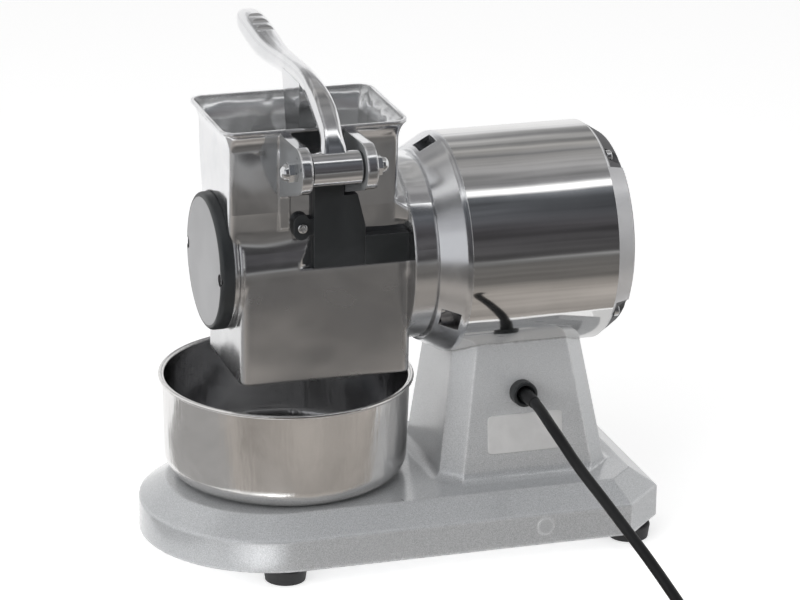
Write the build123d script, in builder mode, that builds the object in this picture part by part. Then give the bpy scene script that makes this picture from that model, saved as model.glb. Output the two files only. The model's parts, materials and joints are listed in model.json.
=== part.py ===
from build123d import *

import os
from math import asin, atan2, cos, degrees, radians, sin, sqrt, tan

os.makedirs("parts", exist_ok=True)

# Electric cheese grater for a counter. Millimetres. X runs along the motor axis from the end cap to the motor,
# +Y points to the operator and Z is up. Heights are from the floor, and Y places are from the motor axis.

# Fits
fit_gap = 0.1
running_gap = 0.05
sliding_gap = 0.4
swing_gap = 1.5

# Base casting
base_length = 384.0
base_width = 195.0
foot_height = 16.0
side_height = 24.0
bevel_width = 20.0
bevel_height = 14.0
corner_cut = 32.0
base_wall = 5.0
base_edge_radius = 2.0
base_margin = 34.0
blank_radius = 6.5
blank_depth = 0.8
blank_x = 91.5
blank_rise = 14.5

# Pedestal under the motor
pedestal_left = 26.0
pedestal_right = 158.0
pedestal_half = 55.0
saddle_rise = 25.0
pedestal_left_lean = 13.5
pedestal_right_lean = 23.5
pedestal_side_lean = 10.5
pedestal_corner = 14.0
pedestal_fillet = 8.0

# Feet, bottom cover and their screws
foot_radius = 16.5
foot_taper = 1.5
foot_round = 1.5
foot_neck = 5.0
foot_neck_radius = 12.5
foot_left_inset = 90.4
foot_left_y = 70.0
foot_right_inset = 20.5
foot_right_y = 61.5
foot_recess_radius = 5.5
foot_recess_depth = 7.0
foot_boss_radius = 5.0
foot_screw_radius = 2.5
foot_screw_head_radius = 4.5
foot_screw_head = 3.0
foot_screw_length = 34.0
cover_thickness = 1.5
cover_gap = 0.3

# Motor
axis_height = 227.5
sheath_radius = 82.5
sheath_wall = 1.2
sheath_front = 36.0
sheath_rear = 148.5
bell_shoulder_radius = 72.0
bell_shoulder_x = 33.0
bell_wall = 7.0
spigot_length = 6.0
pocket_angles = (90, 210, 330)
pocket_inner = 65.0
pocket_outer = 86.0
pocket_radius = 8.5
pocket_front = 17.0
pocket_rear = 30.0
pocket_wall = 4.0
pocket_setback = 0.5
bell_screw_ring = 65.0
bell_screw_radius = 2.5
bell_screw_head_radius = 4.25
bell_screw_head = 5.0
bell_screw_length = 16.0
tie_angles = (35, 119, 215, 299)
tie_ring = 77.0
tie_front = 35.0
tie_radius = 2.5
tie_head_radius = 4.5
tie_head = 3.5
rear_cap_rear = 164.0
rear_cap_taper = 10.0
rear_cap_round = 4.0
rear_cap_wall = 4.0
rear_pad_angles = (167, 347)
rear_pad_arc = 76.0
rear_pad_taper = 3.0
rear_pad_wall = 14.0
rear_pad_round = 6.0
rear_pocket_radius = 6.0
rear_pocket_front = 152.0
vent_count = 14
vent_inner = 26.0
vent_outer = 58.0
vent_width = 5.0
shaft_radius = 8.5
rear_journal_radius = 7.5
drum_journal_radius = 7.0
shaft_rear = 147.0
front_bearing_radius = 20.0
front_bearing_width = 12.0
rear_bearing_radius = 17.5
rear_bearing_width = 11.0
bearing_race = 3.5
stator_front = 62.0
stator_rear = 100.0
stator_bore = 42.0
slot_count = 24
slot_depth = 20.0
slot_width = 5.0
rotor_gap = 0.5
winding_inner = 46.0
winding_outer = 68.0
winding_length = 11.0
shield_front = 124.0
shield_thickness = 7.0
fan_front = 137.0
fan_disc = 1.6
fan_depth = 8.5
fan_radius = 60.0
fan_hub_radius = 15.0
fan_blades = 9
fan_blade = 2.4

# Head casting: collar, drum housing, spout, hopper and hinge ears
collar_front = -4.0
collar_rear = 14.0
collar_radius = 69.5
register_radius = 45.0
register_depth = 6.0
seal_radius = 14.0
seal_front = -3.0
seal_rear = 4.0
shaft_hole_gap = 1.0
housing_radius = 49.5
chamber_radius = 41.0
chamber_rear = -10.0
flange_front = -134.4
flange_length = 7.0
flange_radius = 50.6
flange_groove = 1.2
flange_groove_depth = 1.6
spout_left = -128.6
spout_right = 0.0
spout_drop = 82.0
spout_wall = 4.5
spout_corner = 8.0
hopper_left = -137.0
hopper_right = -9.5
hopper_near = 44.0
hopper_wall = 4.5
hopper_corner = 5.5
hopper_far_radius = 135.0
flare_rise = 94.5
flare = 6.0
flare_steps = ((0, 0), (0.4, 0.14), (0.75, 0.5), (1, 1))
rim_rise = 110.5
rim_lip = 2.0
mouth_wall = 2.4
blend_radius = 60.0
neck_flare = 6.0
neck_radius = 66.0
neck_length = 4.0
recess_left = -76.0
recess_ramp = 2.0
recess_low = 4.5
recess_high = 34.5

# Lever hinge
lever_x = -72.5
hinge_y = -89.0
hinge_rise = 91.8
ear_radius = 17.0
ear_gap = 40.0
ear_thickness = 8.0
ear_high = 106.5
ear_low = 59.5
ear_rib = 3.0
pin_radius = 4.0
nut_across = 13.0
nut_height = 6.5
nut_dome = 5.5
washer_thickness = 2.0
washer_radius = 11.0

# Lever
barrel_radius = 12.3
arm_width = 17.0
root_flare = 7.0
neck_width = 12.5
grip_width = 20.0
handle_reach = 152.0
grip_scallop_radius = 10.0
grip_scallop_depth = 1.3
grip_scallop_pitch = 13.0
grip_scallops = 4
grip_scallop_back = 42.0
grip_scallop_height = 57.5
stem_width = 13.0
stem_rise = 56.5
magnet_radius = 3.0
magnet_length = 4.2

# Presser plate
presser_gap = 3.3
presser_thickness = 6.0
presser_near = 36.0
presser_pad_half = 12.0
presser_screw_radius = 2.0
presser_screw_head_radius = 3.8
presser_screw_head = 2.5
presser_screw_length = 22.0
presser_screw_pitch = 14.0

# Grating drum
drum_radius = 37.4
drum_wall = 3.0
drum_front = -122.0
drum_rear = -14.0
drum_hub_length = 8.0
tooth_height = 1.8
tooth_width = 4.6
tooth_length = 5.2
tooth_taper = 30.0
tooth_rows = 9
teeth_round = 14
key_width = 5.0
key_height = 5.0
key_length = 7.0

# End cap
cap_front = -144.7
cap_radius = 50.8
cap_round = 3.5
cap_recess_radius = 47.3
cap_recess_depth = 1.3
cap_spigot_length = 5.0
cap_spigot_wall = 4.0
cap_boss_radius = 14.0
cap_boss_rear = -124.5
bush_radius = 10.0
bush_length = 10.0
cap_screw_ring = 45.6
cap_screw_radius = 2.0
cap_screw_head_radius = 3.6
cap_screw_head = 2.4
cap_screw_length = 16.0
cap_notch_radius = 4.6

# Safety switch cover with its wire duct
cover_left = -75.5
cover_right = -37.0
cover_low = 4.8
cover_middle = 58.5
cover_neck = 11.5
cover_depth = 7.0
cover_box_half = 19.0
cover_box_depth = 16.0
cover_high = 93.5
cover_round = 3.0
duct_height = 22.0
duct_depth = 8.0
lug_x = -84.0
lug_rise = 35.5
lug_radius = 6.0
lug_tall = 7.0
lug_depth = 4.0
lug_screw_radius = 1.9
lug_screw_head_radius = 3.6
lug_screw_head = 2.4
lug_screw_length = 8.0
sensor_width = 22.0
sensor_height = 16.0
sensor_depth = 9.0
sensor_rise = 82.0

# Collecting bowl
bowl_x = -78.3
bowl_y = 12.0
bowl_height = 77.2
bowl_rim_radius = 95.6
bowl_bead = 1.5
bowl_foot_radius = 90.9
bowl_corner = 16.0
bowl_wall = 1.2

# Switch on the operator's side of the pedestal
switch_x = 88.0
switch_share = 0.46
switch_width = 34.0
switch_length = 58.0
switch_plate = 4.0
switch_body_depth = 24.0
switch_margin = 5.0
button_gap = 4.0
button_height = 8.0
button_proud = 3.5
button_travel = 3.0
well_clearance = 1.0

# Electrics on the bottom cover
capacitor_radius = 13.0
capacitor_length = 62.0
capacitor_x = 64.0
capacitor_y = 24.0
terminal_x = 64.0
terminal_y = -22.0
terminal_length = 48.0
terminal_width = 18.0
terminal_height = 14.0

# Cable gland
gland_x = 87.0
gland_drop = 25.0
gland_radius = 9.6
gland_length = 10.0
gland_round = 1.5
gland_mouth_radius = 7.4
gland_mouth_depth = 5.0
gland_throat_radius = 4.6
gland_thread_radius = 7.8
gland_nut_radius = 11.0
gland_nut_length = 4.0

# Mains cord, its coil and its plug. The route's points are (X, Y from the motor axis, height).
cord_radius = 4.0
cord_start = 20.0
cord_route = [
    (84.6, -99.0, 123.6),
    (83.0, -121.0, 122.2),
    (83.4, -144.0, 118.2),
    (86.5, -175.0, 108.0),
    (94.0, -205.0, 95.5),
    (104.0, -231.0, 79.0),
    (113.0, -248.0, 65.0),
    (125.0, -273.0, 43.5),
    (131.0, -289.0, 31.5),
    (136.0, -306.0, 21.0),
    (140.0, -324.0, 12.3),
    (142.8, -343.0, 6.4),
    (144.4, -364.0, 4.0),
    (144.2, -392.0, 4.0),
]
coil_x = 84.0
coil_y = -392.0
coil_radius = 48.0
coil_width = 32.0
coil_height = 16.0
plug_x = 55.0
plug_y = -445.0
plug_radius = 18.0
plug_body = 30.0
boot_length = 30.0
boot_radius = 6.5
plug_pin_radius = 2.4
plug_pin_length = 19.0
plug_pin_spacing = 19.0

# The origin lies on the floor, midway between the front of the hinge ears and the end of the handle.
ear_reach = ear_radius - hinge_y
axis_y = (ear_reach - handle_reach) / 2

# Levels and places that follow from the sizes above
base_right = pedestal_right + base_margin
base_left = base_right - base_length
side_top = foot_height + side_height
base_top = side_top + bevel_height
pedestal_top = axis_height - sheath_radius + saddle_rise
pedestal_height = pedestal_top - base_top
gland_height = axis_height - sheath_radius - gland_drop
switch_height = base_top + switch_share * pedestal_height
spout_bottom = axis_height - spout_drop
flare_base = axis_height + flare_rise
rim_height = axis_height + rim_rise
recess_bottom = axis_height + recess_low
recess_top = axis_height + recess_high
hinge_height = axis_height + hinge_rise
ear_top = axis_height + ear_high
ear_bottom = axis_height + ear_low
stem_foot = axis_height + stem_rise
cover_bottom = axis_height + cover_low
cover_step = axis_height + cover_middle
cover_box_bottom = cover_step + cover_neck
cover_box_top = axis_height + cover_high
lug_height = axis_height + lug_rise
sensor_z = axis_height + sensor_rise
side_slope = pedestal_side_lean / pedestal_height
side_tilt = degrees(atan2(pedestal_side_lean, pedestal_height))
sheath_bore = sheath_radius - sheath_wall
hopper_far_inner = hopper_far_radius - hopper_wall
tooth_tip = drum_radius + tooth_height
presser_radius = tooth_tip + presser_gap
foot_spots = [
    (x, side * y)
    for x, y in (
        (base_left + foot_left_inset, foot_left_y),
        (base_right - foot_right_inset, foot_right_y),
    )
    for side in (-1, 1)
]
motor_axis = Axis((0, axis_y, axis_height), (1, 0, 0))


def level(z):
    """A horizontal plane at height z, with its origin under the motor axis."""
    return Plane((0, axis_y, z))


def across(x):
    """A plane across the motor axis at x. Its own x is Y from the axis and its own y is the height."""
    return Plane(origin=(x, axis_y, 0), x_dir=(0, 1, 0), z_dir=(1, 0, 0))


def facing(y):
    """An upright plane at y from the motor axis, looking to -Y. Its own x is X and its own y is the height."""
    return Plane(origin=(0, axis_y + y, 0), x_dir=(1, 0, 0), z_dir=(0, -1, 0))


def pedestal_face(x, z, side):
    """A plane on the pedestal's leaning face, looking out. Side -1 is the cord's and +1 the operator's."""
    y = side * (pedestal_half - side_slope * (z - base_top))
    normal = (0, side * cos(radians(side_tilt)), sin(radians(side_tilt)))
    return Plane(origin=(x, axis_y + y, z), x_dir=(-side, 0, 0), z_dir=normal)


def ring_spots(ring, angles):
    """Places on a circle round the motor axis, for a plane across it."""
    return [(ring * cos(radians(a)), axis_height + ring * sin(radians(a))) for a in angles]


def bars(start, end, radius, spots=((0, axis_height),), mode=Mode.ADD):
    """Round bars along X from start to end, at the given places."""
    with BuildSketch(across(start)) as section:
        with Locations(*spots):
            Circle(radius)
    extrude(section.sketch, amount=end - start, mode=mode)


def spun(outline, mode=Mode.ADD):
    """A solid turned about the motor axis from an outline of (X, radius) points."""
    with BuildSketch(facing(0)) as section:
        with BuildLine():
            Polyline(*[(x, axis_height + radius) for x, radius in outline], close=True)
        make_face()
    revolve(section.sketch, axis=motor_axis, mode=mode)


def tube(start, end, outer, inner):
    """A plain ring about the motor axis."""
    spun([(start, inner), (end, inner), (end, outer), (start, outer)])


def plinth_outline(inset, z):
    """The base's plan: round at the end cap's end, with cut corners at the motor's end."""
    half = base_width / 2 - inset
    right = base_right - inset
    cut = corner_cut - (2 - sqrt(2)) * inset
    round_x = base_left + base_width / 2
    with BuildSketch(level(z)) as outline:
        with BuildLine():
            Polyline(
                (round_x, -half),
                (right - cut, -half),
                (right, cut - half),
                (right, half - cut),
                (right - cut, half),
                (round_x, half),
            )
            ThreePointArc((round_x, half), (round_x - half, 0), (round_x, -half))
        make_face()
    return outline.sketch


def pedestal_span(inset, z):
    """The pedestal's left end, right end and half width at height z, inside the wall by the inset."""
    rise = (z - base_top) / pedestal_height
    left = pedestal_left + rise * pedestal_left_lean + inset
    right = pedestal_right - rise * pedestal_right_lean - inset
    half = pedestal_half - rise * pedestal_side_lean - inset
    return left, right, half


def pedestal_block(inset, bottom):
    """A leaning block with cut corners, from its bottom level to the pedestal's top."""
    low_left, low_right, low_half = pedestal_span(inset, bottom)
    top_left, top_right, top_half = pedestal_span(inset, pedestal_top)
    with BuildPart() as block:
        with BuildSketch(facing(low_half)):
            Polygon(
                (low_left, bottom),
                (low_right, bottom),
                (top_right, pedestal_top),
                (top_left, pedestal_top),
                align=None,
            )
        extrude(amount=2 * low_half)
        with BuildSketch(across(low_left)):
            Polygon(
                (-low_half, bottom),
                (low_half, bottom),
                (top_half, pedestal_top),
                (-top_half, pedestal_top),
                align=None,
            )
        extrude(amount=low_right - low_left, mode=Mode.INTERSECT)
        corners = block.edges().filter_by(lambda e: e.bounding_box().size.Z > pedestal_height / 2)
        chamfer(corners, length=pedestal_corner - (2 - sqrt(2)) * inset)
    return block.part


# Base casting, hollow from below and up into the pedestal
pedestal_shell = pedestal_block(0, base_top)
pedestal_hollow = pedestal_block(base_wall, base_top - 2 * base_wall)

with BuildPart() as pedestal_cavity:
    add(pedestal_hollow)
    bars(collar_rear, rear_cap_rear, sheath_radius + base_wall, mode=Mode.SUBTRACT)

# The plinth's hollow keeps clear of the bosses for the foot screws
with BuildPart() as plinth_cavity:
    extrude(plinth_outline(base_wall, foot_height), amount=side_height)
    extrude(plinth_outline(base_wall + bevel_width, side_top), amount=bevel_height - base_wall)
    with BuildSketch(level(foot_height + cover_thickness)):
        with Locations(*foot_spots):
            Circle(foot_boss_radius)
    extrude(amount=base_top - foot_height, mode=Mode.SUBTRACT)

with BuildPart() as base_casting:
    extrude(plinth_outline(0, foot_height), amount=side_height + bevel_height)
    plinth_top = base_casting.faces().sort_by(Axis.Z)[-1]
    chamfer(plinth_top.edges(), length=bevel_width, length2=bevel_height, reference=plinth_top)
    rims = base_casting.edges().filter_by(lambda e: e.bounding_box().size.Z < fit_gap)
    fillet(rims.filter_by(lambda e: e.center().Z > side_top - fit_gap), radius=base_edge_radius)
    add(plinth_cavity.part, mode=Mode.SUBTRACT)
    add(pedestal_shell)
    foot_edges = base_casting.edges().filter_by_position(Axis.Z, base_top, base_top).filter_by(
        lambda e: pedestal_left - 1 < e.center().X < pedestal_right + 1
        and abs(e.center().Y - axis_y) < pedestal_half + 1
    )
    fillet(foot_edges, radius=pedestal_fillet)
    add(pedestal_cavity.part, mode=Mode.SUBTRACT)
    bars(collar_rear, rear_cap_rear + base_wall, sheath_radius, mode=Mode.SUBTRACT)
    with BuildSketch(level(foot_height)):
        with Locations(*foot_spots):
            Circle(foot_screw_radius + fit_gap)
    extrude(amount=foot_screw_length - foot_recess_depth, mode=Mode.SUBTRACT)
    with BuildSketch(facing(-base_width / 2)):
        with Locations((blank_x, foot_height + blank_rise)):
            Circle(blank_radius)
    extrude(amount=blank_depth)
    with BuildSketch(pedestal_face(gland_x, gland_height, -1)):
        Circle(gland_thread_radius + fit_gap)
    extrude(amount=-2 * base_wall, mode=Mode.SUBTRACT)
    with BuildSketch(pedestal_face(switch_x, switch_height, 1)):
        Rectangle(switch_width - 2 * switch_margin, switch_length - 2 * switch_margin)
    extrude(amount=-2 * base_wall, mode=Mode.SUBTRACT)

# Sheet cover that closes the base from below
with BuildPart() as bottom_cover:
    extrude(plinth_outline(base_wall + cover_gap, foot_height), amount=cover_thickness)
    with BuildSketch(level(foot_height)):
        with Locations(*foot_spots):
            Circle(foot_screw_radius + fit_gap)
    extrude(amount=cover_thickness, mode=Mode.SUBTRACT)

# Rubber feet: a wide tread under a neck, with a recess for the screw
foot_tread = foot_height - foot_neck
with BuildPart(level(0)) as rubber_feet:
    with Locations(*[(x, y, foot_tread / 2) for x, y in foot_spots]):
        Cone(foot_radius - foot_taper, foot_radius, foot_tread)
    fillet(rubber_feet.edges().filter_by_position(Axis.Z, foot_tread, foot_tread), radius=foot_round)
    with Locations(*[(x, y, foot_height - foot_neck / 2) for x, y in foot_spots]):
        Cylinder(foot_neck_radius, foot_neck)
    with Locations(*[(x, y, foot_recess_depth / 2) for x, y in foot_spots]):
        Cylinder(foot_recess_radius, foot_recess_depth, mode=Mode.SUBTRACT)
    with Locations(*[(x, y, foot_height / 2) for x, y in foot_spots]):
        Cylinder(foot_screw_radius + fit_gap, foot_height, mode=Mode.SUBTRACT)

with BuildPart(level(0)) as foot_screws:
    with Locations(*[(x, y, foot_recess_depth - foot_screw_head / 2) for x, y in foot_spots]):
        Cylinder(foot_screw_head_radius, foot_screw_head)
    with Locations(*[(x, y, foot_recess_depth + foot_screw_length / 2) for x, y in foot_spots]):
        Cylinder(foot_screw_radius, foot_screw_length)

# Cable gland: a round bush with a bell mouth outside, a threaded neck through the wall and a nut inside
gland_plane = pedestal_face(gland_x, gland_height, -1)
inner_face = base_wall * cos(radians(side_tilt))
with BuildPart() as cable_gland:
    with BuildSketch(gland_plane):
        Circle(gland_radius)
    extrude(amount=gland_length)
    fillet(cable_gland.faces().sort_by(Axis.Y)[0].edges(), radius=gland_round)
    with BuildSketch(gland_plane.offset(gland_length - gland_mouth_depth)):
        Circle(gland_throat_radius)
    with BuildSketch(gland_plane.offset(gland_length)):
        Circle(gland_mouth_radius)
    loft(mode=Mode.SUBTRACT)
    with BuildSketch(gland_plane):
        Circle(gland_thread_radius)
    extrude(amount=-(inner_face + gland_nut_length + 1))

with BuildPart() as gland_nut:
    with BuildSketch(gland_plane.offset(-inner_face)):
        RegularPolygon(gland_nut_radius, 6)
        Circle(gland_thread_radius + fit_gap, mode=Mode.SUBTRACT)
    extrude(amount=-gland_nut_length)

# Electrics that stand on the bottom cover, under the pedestal
cover_top = foot_height + cover_thickness
with BuildPart() as run_capacitor:
    bars(
        capacitor_x,
        capacitor_x + capacitor_length,
        capacitor_radius,
        [(capacitor_y, cover_top + capacitor_radius + fit_gap)],
    )
    fillet(run_capacitor.edges().filter_by(GeomType.CIRCLE), radius=1.5)

with BuildPart() as terminal_block:
    with BuildSketch(level(cover_top)):
        with Locations((terminal_x + terminal_length / 2, terminal_y)):
            Rectangle(terminal_length, terminal_width)
    extrude(amount=terminal_height)
    with BuildSketch(level(cover_top + terminal_height)):
        with Locations((terminal_x + terminal_length / 2, terminal_y)):
            with GridLocations(terminal_length / 5, terminal_width / 2, 5, 2):
                Circle(terminal_width / 6)
    extrude(amount=-terminal_height / 2, mode=Mode.SUBTRACT)

# Push-button switch on the operator's side
switch_plane = pedestal_face(switch_x, switch_height, 1)
button_width = switch_width - 4 * switch_margin + 2 * button_gap
button_length = (switch_length - 2 * switch_margin - 3 * button_gap) / 2
button_offset = (button_length + button_gap) / 2
well_depth = button_height - button_proud + button_travel + well_clearance
with BuildPart() as switch_housing:
    with BuildSketch(switch_plane):
        RectangleRounded(switch_width, switch_length, switch_margin)
    extrude(amount=switch_plate)
    with BuildSketch(switch_plane):
        Rectangle(
            switch_width - 2 * (switch_margin + fit_gap),
            switch_length - 2 * (switch_margin + fit_gap),
        )
    extrude(amount=-switch_body_depth)
    with BuildSketch(switch_plane.offset(switch_plate)):
        with Locations((0, button_offset), (0, -button_offset)):
            Rectangle(button_width + 2 * sliding_gap, button_length + 2 * sliding_gap)
    extrude(amount=-well_depth, mode=Mode.SUBTRACT)


def push_button(offset_y):
    """One button in its well, standing proud of the switch plate."""
    face = switch_plane.offset(switch_plate + button_proud - button_height)
    with BuildSketch(face) as plan:
        with Locations((0, offset_y)):
            RectangleRounded(button_width, button_length, 2)
    return plan.sketch


with BuildPart() as start_button:
    extrude(push_button(button_offset), amount=button_height)

with BuildPart() as stop_button:
    extrude(push_button(-button_offset), amount=button_height)

# Collecting bowl: thin pressed sheet with a rolled rim
rim_wall = bowl_rim_radius - 2 * bowl_bead
bowl_middle = axis_y + bowl_y
with BuildPart() as collecting_bowl:
    with BuildSketch(Plane(origin=(bowl_x, bowl_middle, base_top), x_dir=(1, 0, 0), z_dir=(0, -1, 0))) as section:
        with BuildLine():
            Polyline(
                (0, bowl_wall),
                (0, 0),
                (bowl_foot_radius - bowl_corner, 0),
            )
            RadiusArc(
                (bowl_foot_radius - bowl_corner, 0), (bowl_foot_radius, bowl_corner), -bowl_corner
            )
            Polyline(
                (bowl_foot_radius, bowl_corner),
                (rim_wall, bowl_height - bowl_bead),
                (rim_wall - bowl_wall, bowl_height - bowl_bead),
                (bowl_foot_radius - bowl_wall, bowl_corner),
            )
            RadiusArc(
                (bowl_foot_radius - bowl_wall, bowl_corner),
                (bowl_foot_radius - bowl_corner, bowl_wall),
                bowl_corner - bowl_wall,
            )
            Line((bowl_foot_radius - bowl_corner, bowl_wall), (0, bowl_wall))
        make_face()
        with Locations((bowl_rim_radius - bowl_bead, bowl_height - bowl_bead)):
            Circle(bowl_bead)
        with Locations((rim_wall, bowl_height - bowl_bead)):
            Rectangle(bowl_bead, bowl_wall)
    revolve(axis=Axis((bowl_x, bowl_middle, 0), (0, 0, 1)))


# Head casting
def hopper_side(inset, x):
    """The hopper's outline across the motor axis: upright near the hinge, an arc about the hinge beyond."""
    near = inset - hopper_near
    reach = hopper_far_radius - inset
    far = hinge_y + reach
    low = asin((hinge_height - axis_height) / reach)
    turn = [(hinge_y + reach * cos(low * t), hinge_height - reach * sin(low * t)) for t in (0.5, 1)]
    with BuildSketch(across(x)) as outline:
        with BuildLine():
            Polyline(
                turn[1],
                (near, axis_height),
                (near, flare_base),
                (far, flare_base),
                (far, hinge_height),
            )
            ThreePointArc((far, hinge_height), *turn)
        make_face()
    return outline.sketch


def mouth_outline(grow, z):
    """The hopper's rounded plan at its mouth, grown outwards."""
    far = hinge_y + hopper_far_radius
    with BuildSketch(level(z)) as outline:
        with Locations(((hopper_left + hopper_right) / 2, (far - hopper_near) / 2)):
            RectangleRounded(
                hopper_right - hopper_left + 2 * grow,
                far + hopper_near + 2 * grow,
                hopper_corner + grow,
            )
    return outline.sketch


with BuildPart() as hopper_body:
    extrude(hopper_side(0, hopper_left), amount=hopper_right - hopper_left)
    corners = hopper_body.edges().filter_by(lambda e: e.bounding_box().size.X < fit_gap)
    upright = corners.filter_by(Axis.Z) + corners.filter_by(GeomType.CIRCLE)
    fillet(upright, radius=hopper_corner)

with BuildPart() as hopper_cavity:
    extrude(
        hopper_side(hopper_wall, hopper_left + hopper_wall),
        amount=hopper_right - hopper_left - 2 * hopper_wall,
    )
    corners = hopper_cavity.edges().filter_by(lambda e: e.bounding_box().size.X < fit_gap)
    upright = corners.filter_by(Axis.Z) + corners.filter_by(GeomType.CIRCLE)
    fillet(upright, radius=hopper_corner - hopper_wall)

with BuildPart() as collar_neck:
    loft(
        [hopper_side(0, hopper_right - neck_length), hopper_side(-neck_flare, collar_front)],
        ruled=True,
    )
    bars(hopper_right - neck_length, collar_front, neck_radius, mode=Mode.INTERSECT)

def mouth_steps(inner):
    """The plans that the flared mouth is drawn through, outside or inside. The wall thins to the rim."""
    plans = []
    for rise, share in flare_steps:
        wall = inner * (hopper_wall + rise * (mouth_wall - hopper_wall))
        height = flare_base + rise * (rim_height - rim_lip - flare_base)
        plans.append(mouth_outline(share * flare - wall, height))
    return plans


# Hinge ears: two plates that taper to the wall under the rim, the left one with a rib below it
ear_left = lever_x - ear_gap / 2 - ear_thickness
ear_right = lever_x + ear_gap / 2 + ear_thickness
with BuildPart() as hinge_ears:
    with BuildSketch(across(ear_left)):
        with BuildLine():
            CenterArc((hinge_y, hinge_height), ear_radius, 0, 360)
            Polyline(
                (-hopper_near - hopper_wall / 2, ear_bottom),
                (-hopper_near + hopper_wall / 2, ear_bottom),
                (-hopper_near + hopper_wall / 2, ear_top),
                (-hopper_near - hopper_wall / 2, ear_top),
                close=True,
            )
        make_hull()
    extrude(amount=ear_right - ear_left)
    with BuildSketch(across(ear_left)):
        with Locations((-hopper_near, recess_top)):
            Rectangle(2 * ear_rib, ear_bottom + ear_rib - recess_top, align=(Align.CENTER, Align.MIN))
    extrude(amount=ear_thickness)
    bars(
        ear_left + ear_thickness,
        ear_right - ear_thickness,
        4 * ear_radius,
        [(hinge_y, hinge_height)],
        mode=Mode.SUBTRACT,
    )

# The blend's arc touches the hopper's near wall and the drum housing.
blend_y = -hopper_near - blend_radius
blend_rise = sqrt((housing_radius + blend_radius) ** 2 - blend_y**2)
blend_share = housing_radius / (housing_radius + blend_radius)
blend_low = (blend_share * blend_y, axis_height + blend_share * blend_rise)
blend_high = (-hopper_near, axis_height + blend_rise)

with BuildPart() as head_casting:
    with BuildSketch(level(spout_bottom)):
        with Locations(((spout_left + spout_right) / 2, 0)):
            RectangleRounded(spout_right - spout_left, 2 * housing_radius, spout_corner)
    extrude(amount=axis_height - spout_bottom)
    bars(flange_front + flange_length, collar_front, housing_radius)
    bars(flange_front, flange_front + flange_length, flange_radius)
    bars(collar_front, collar_rear, collar_radius)
    add(hopper_body.part)
    add(collar_neck.part)
    with BuildSketch(across(hopper_left + hopper_corner)):
        with BuildLine():
            Polyline(
                blend_low,
                (hopper_wall - hopper_near, blend_low[1]),
                (hopper_wall - hopper_near, blend_high[1]),
                blend_high,
            )
            CenterArc((blend_y, blend_high[1]), blend_radius, 0, -degrees(atan2(blend_rise, -blend_y)))
        make_face()
    extrude(amount=hopper_right - hopper_left - hopper_corner)
    add(hinge_ears.part)
    loft(mouth_steps(0))
    extrude(mouth_outline(flare, rim_height - rim_lip), amount=rim_lip)
    with BuildSketch(level(recess_bottom)):
        Polygon(
            (recess_left, -hopper_near),
            (collar_front, -hopper_near),
            (collar_front, -hopper_near - collar_radius),
            (recess_left - recess_ramp * collar_radius, -hopper_near - collar_radius),
            align=None,
        )
    extrude(amount=recess_top - recess_bottom, mode=Mode.SUBTRACT)
    with BuildSketch(facing(-hopper_near)):
        with Locations((recess_left, lug_height)):
            Rectangle(
                recess_left - lug_x + lug_radius + fit_gap,
                lug_tall + 2 * (lug_radius + fit_gap),
                align=(Align.MAX, Align.CENTER),
            )
    extrude(amount=lug_depth, mode=Mode.SUBTRACT)
    # hollow inside: hopper and mouth, drum chamber, spout, shaft hole, seal seat and motor register
    add(hopper_cavity.part, mode=Mode.SUBTRACT)
    loft(mouth_steps(1), mode=Mode.SUBTRACT)
    extrude(mouth_outline(flare - mouth_wall, rim_height - rim_lip), amount=rim_lip, mode=Mode.SUBTRACT)
    bars(hopper_left, flange_front, cap_radius + sliding_gap, mode=Mode.SUBTRACT)
    bars(flange_front, chamber_rear, chamber_radius, mode=Mode.SUBTRACT)
    with BuildSketch(level(spout_bottom)):
        with Locations(((spout_left + spout_wall + chamber_rear) / 2, 0)):
            RectangleRounded(
                chamber_rear - spout_left - spout_wall,
                2 * (housing_radius - spout_wall),
                spout_corner - spout_wall,
            )
    extrude(amount=axis_height - spout_bottom, mode=Mode.SUBTRACT)
    bars(chamber_rear, collar_rear, shaft_radius + shaft_hole_gap, mode=Mode.SUBTRACT)
    bars(seal_front, collar_rear, seal_radius + fit_gap, mode=Mode.SUBTRACT)
    bars(collar_rear - register_depth, collar_rear, register_radius, mode=Mode.SUBTRACT)
    spun(
        [
            (flange_front + flange_length / 2, flange_radius - flange_groove_depth),
            (flange_front + flange_length / 2 + flange_groove, flange_radius - flange_groove_depth),
            (flange_front + flange_length / 2 + flange_groove, flange_radius + 1),
            (flange_front + flange_length / 2, flange_radius + 1),
        ],
        mode=Mode.SUBTRACT,
    )
    # holes for the hinge pin, the collar screws, the cap screws and the switch cover's screw
    bars(
        lever_x - ear_gap,
        lever_x + ear_gap,
        pin_radius + running_gap,
        [(hinge_y, hinge_height)],
        mode=Mode.SUBTRACT,
    )
    bars(
        pocket_front - bell_screw_length,
        collar_rear,
        bell_screw_radius + fit_gap,
        ring_spots(bell_screw_ring, pocket_angles),
        mode=Mode.SUBTRACT,
    )
    bars(
        flange_front,
        cap_front + cap_screw_length + cap_screw_head,
        cap_screw_radius + fit_gap,
        ring_spots(cap_screw_ring, (0, 180)),
        mode=Mode.SUBTRACT,
    )
    with BuildSketch(facing(-hopper_near)):
        with Locations((lug_x, lug_height)):
            Circle(lug_screw_radius + fit_gap)
    extrude(amount=-(lug_screw_length - lug_depth), mode=Mode.SUBTRACT)

# Lip seal on the shaft
with BuildPart() as shaft_seal:
    tube(seal_front, seal_rear, seal_radius, shaft_radius + running_gap)

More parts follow.
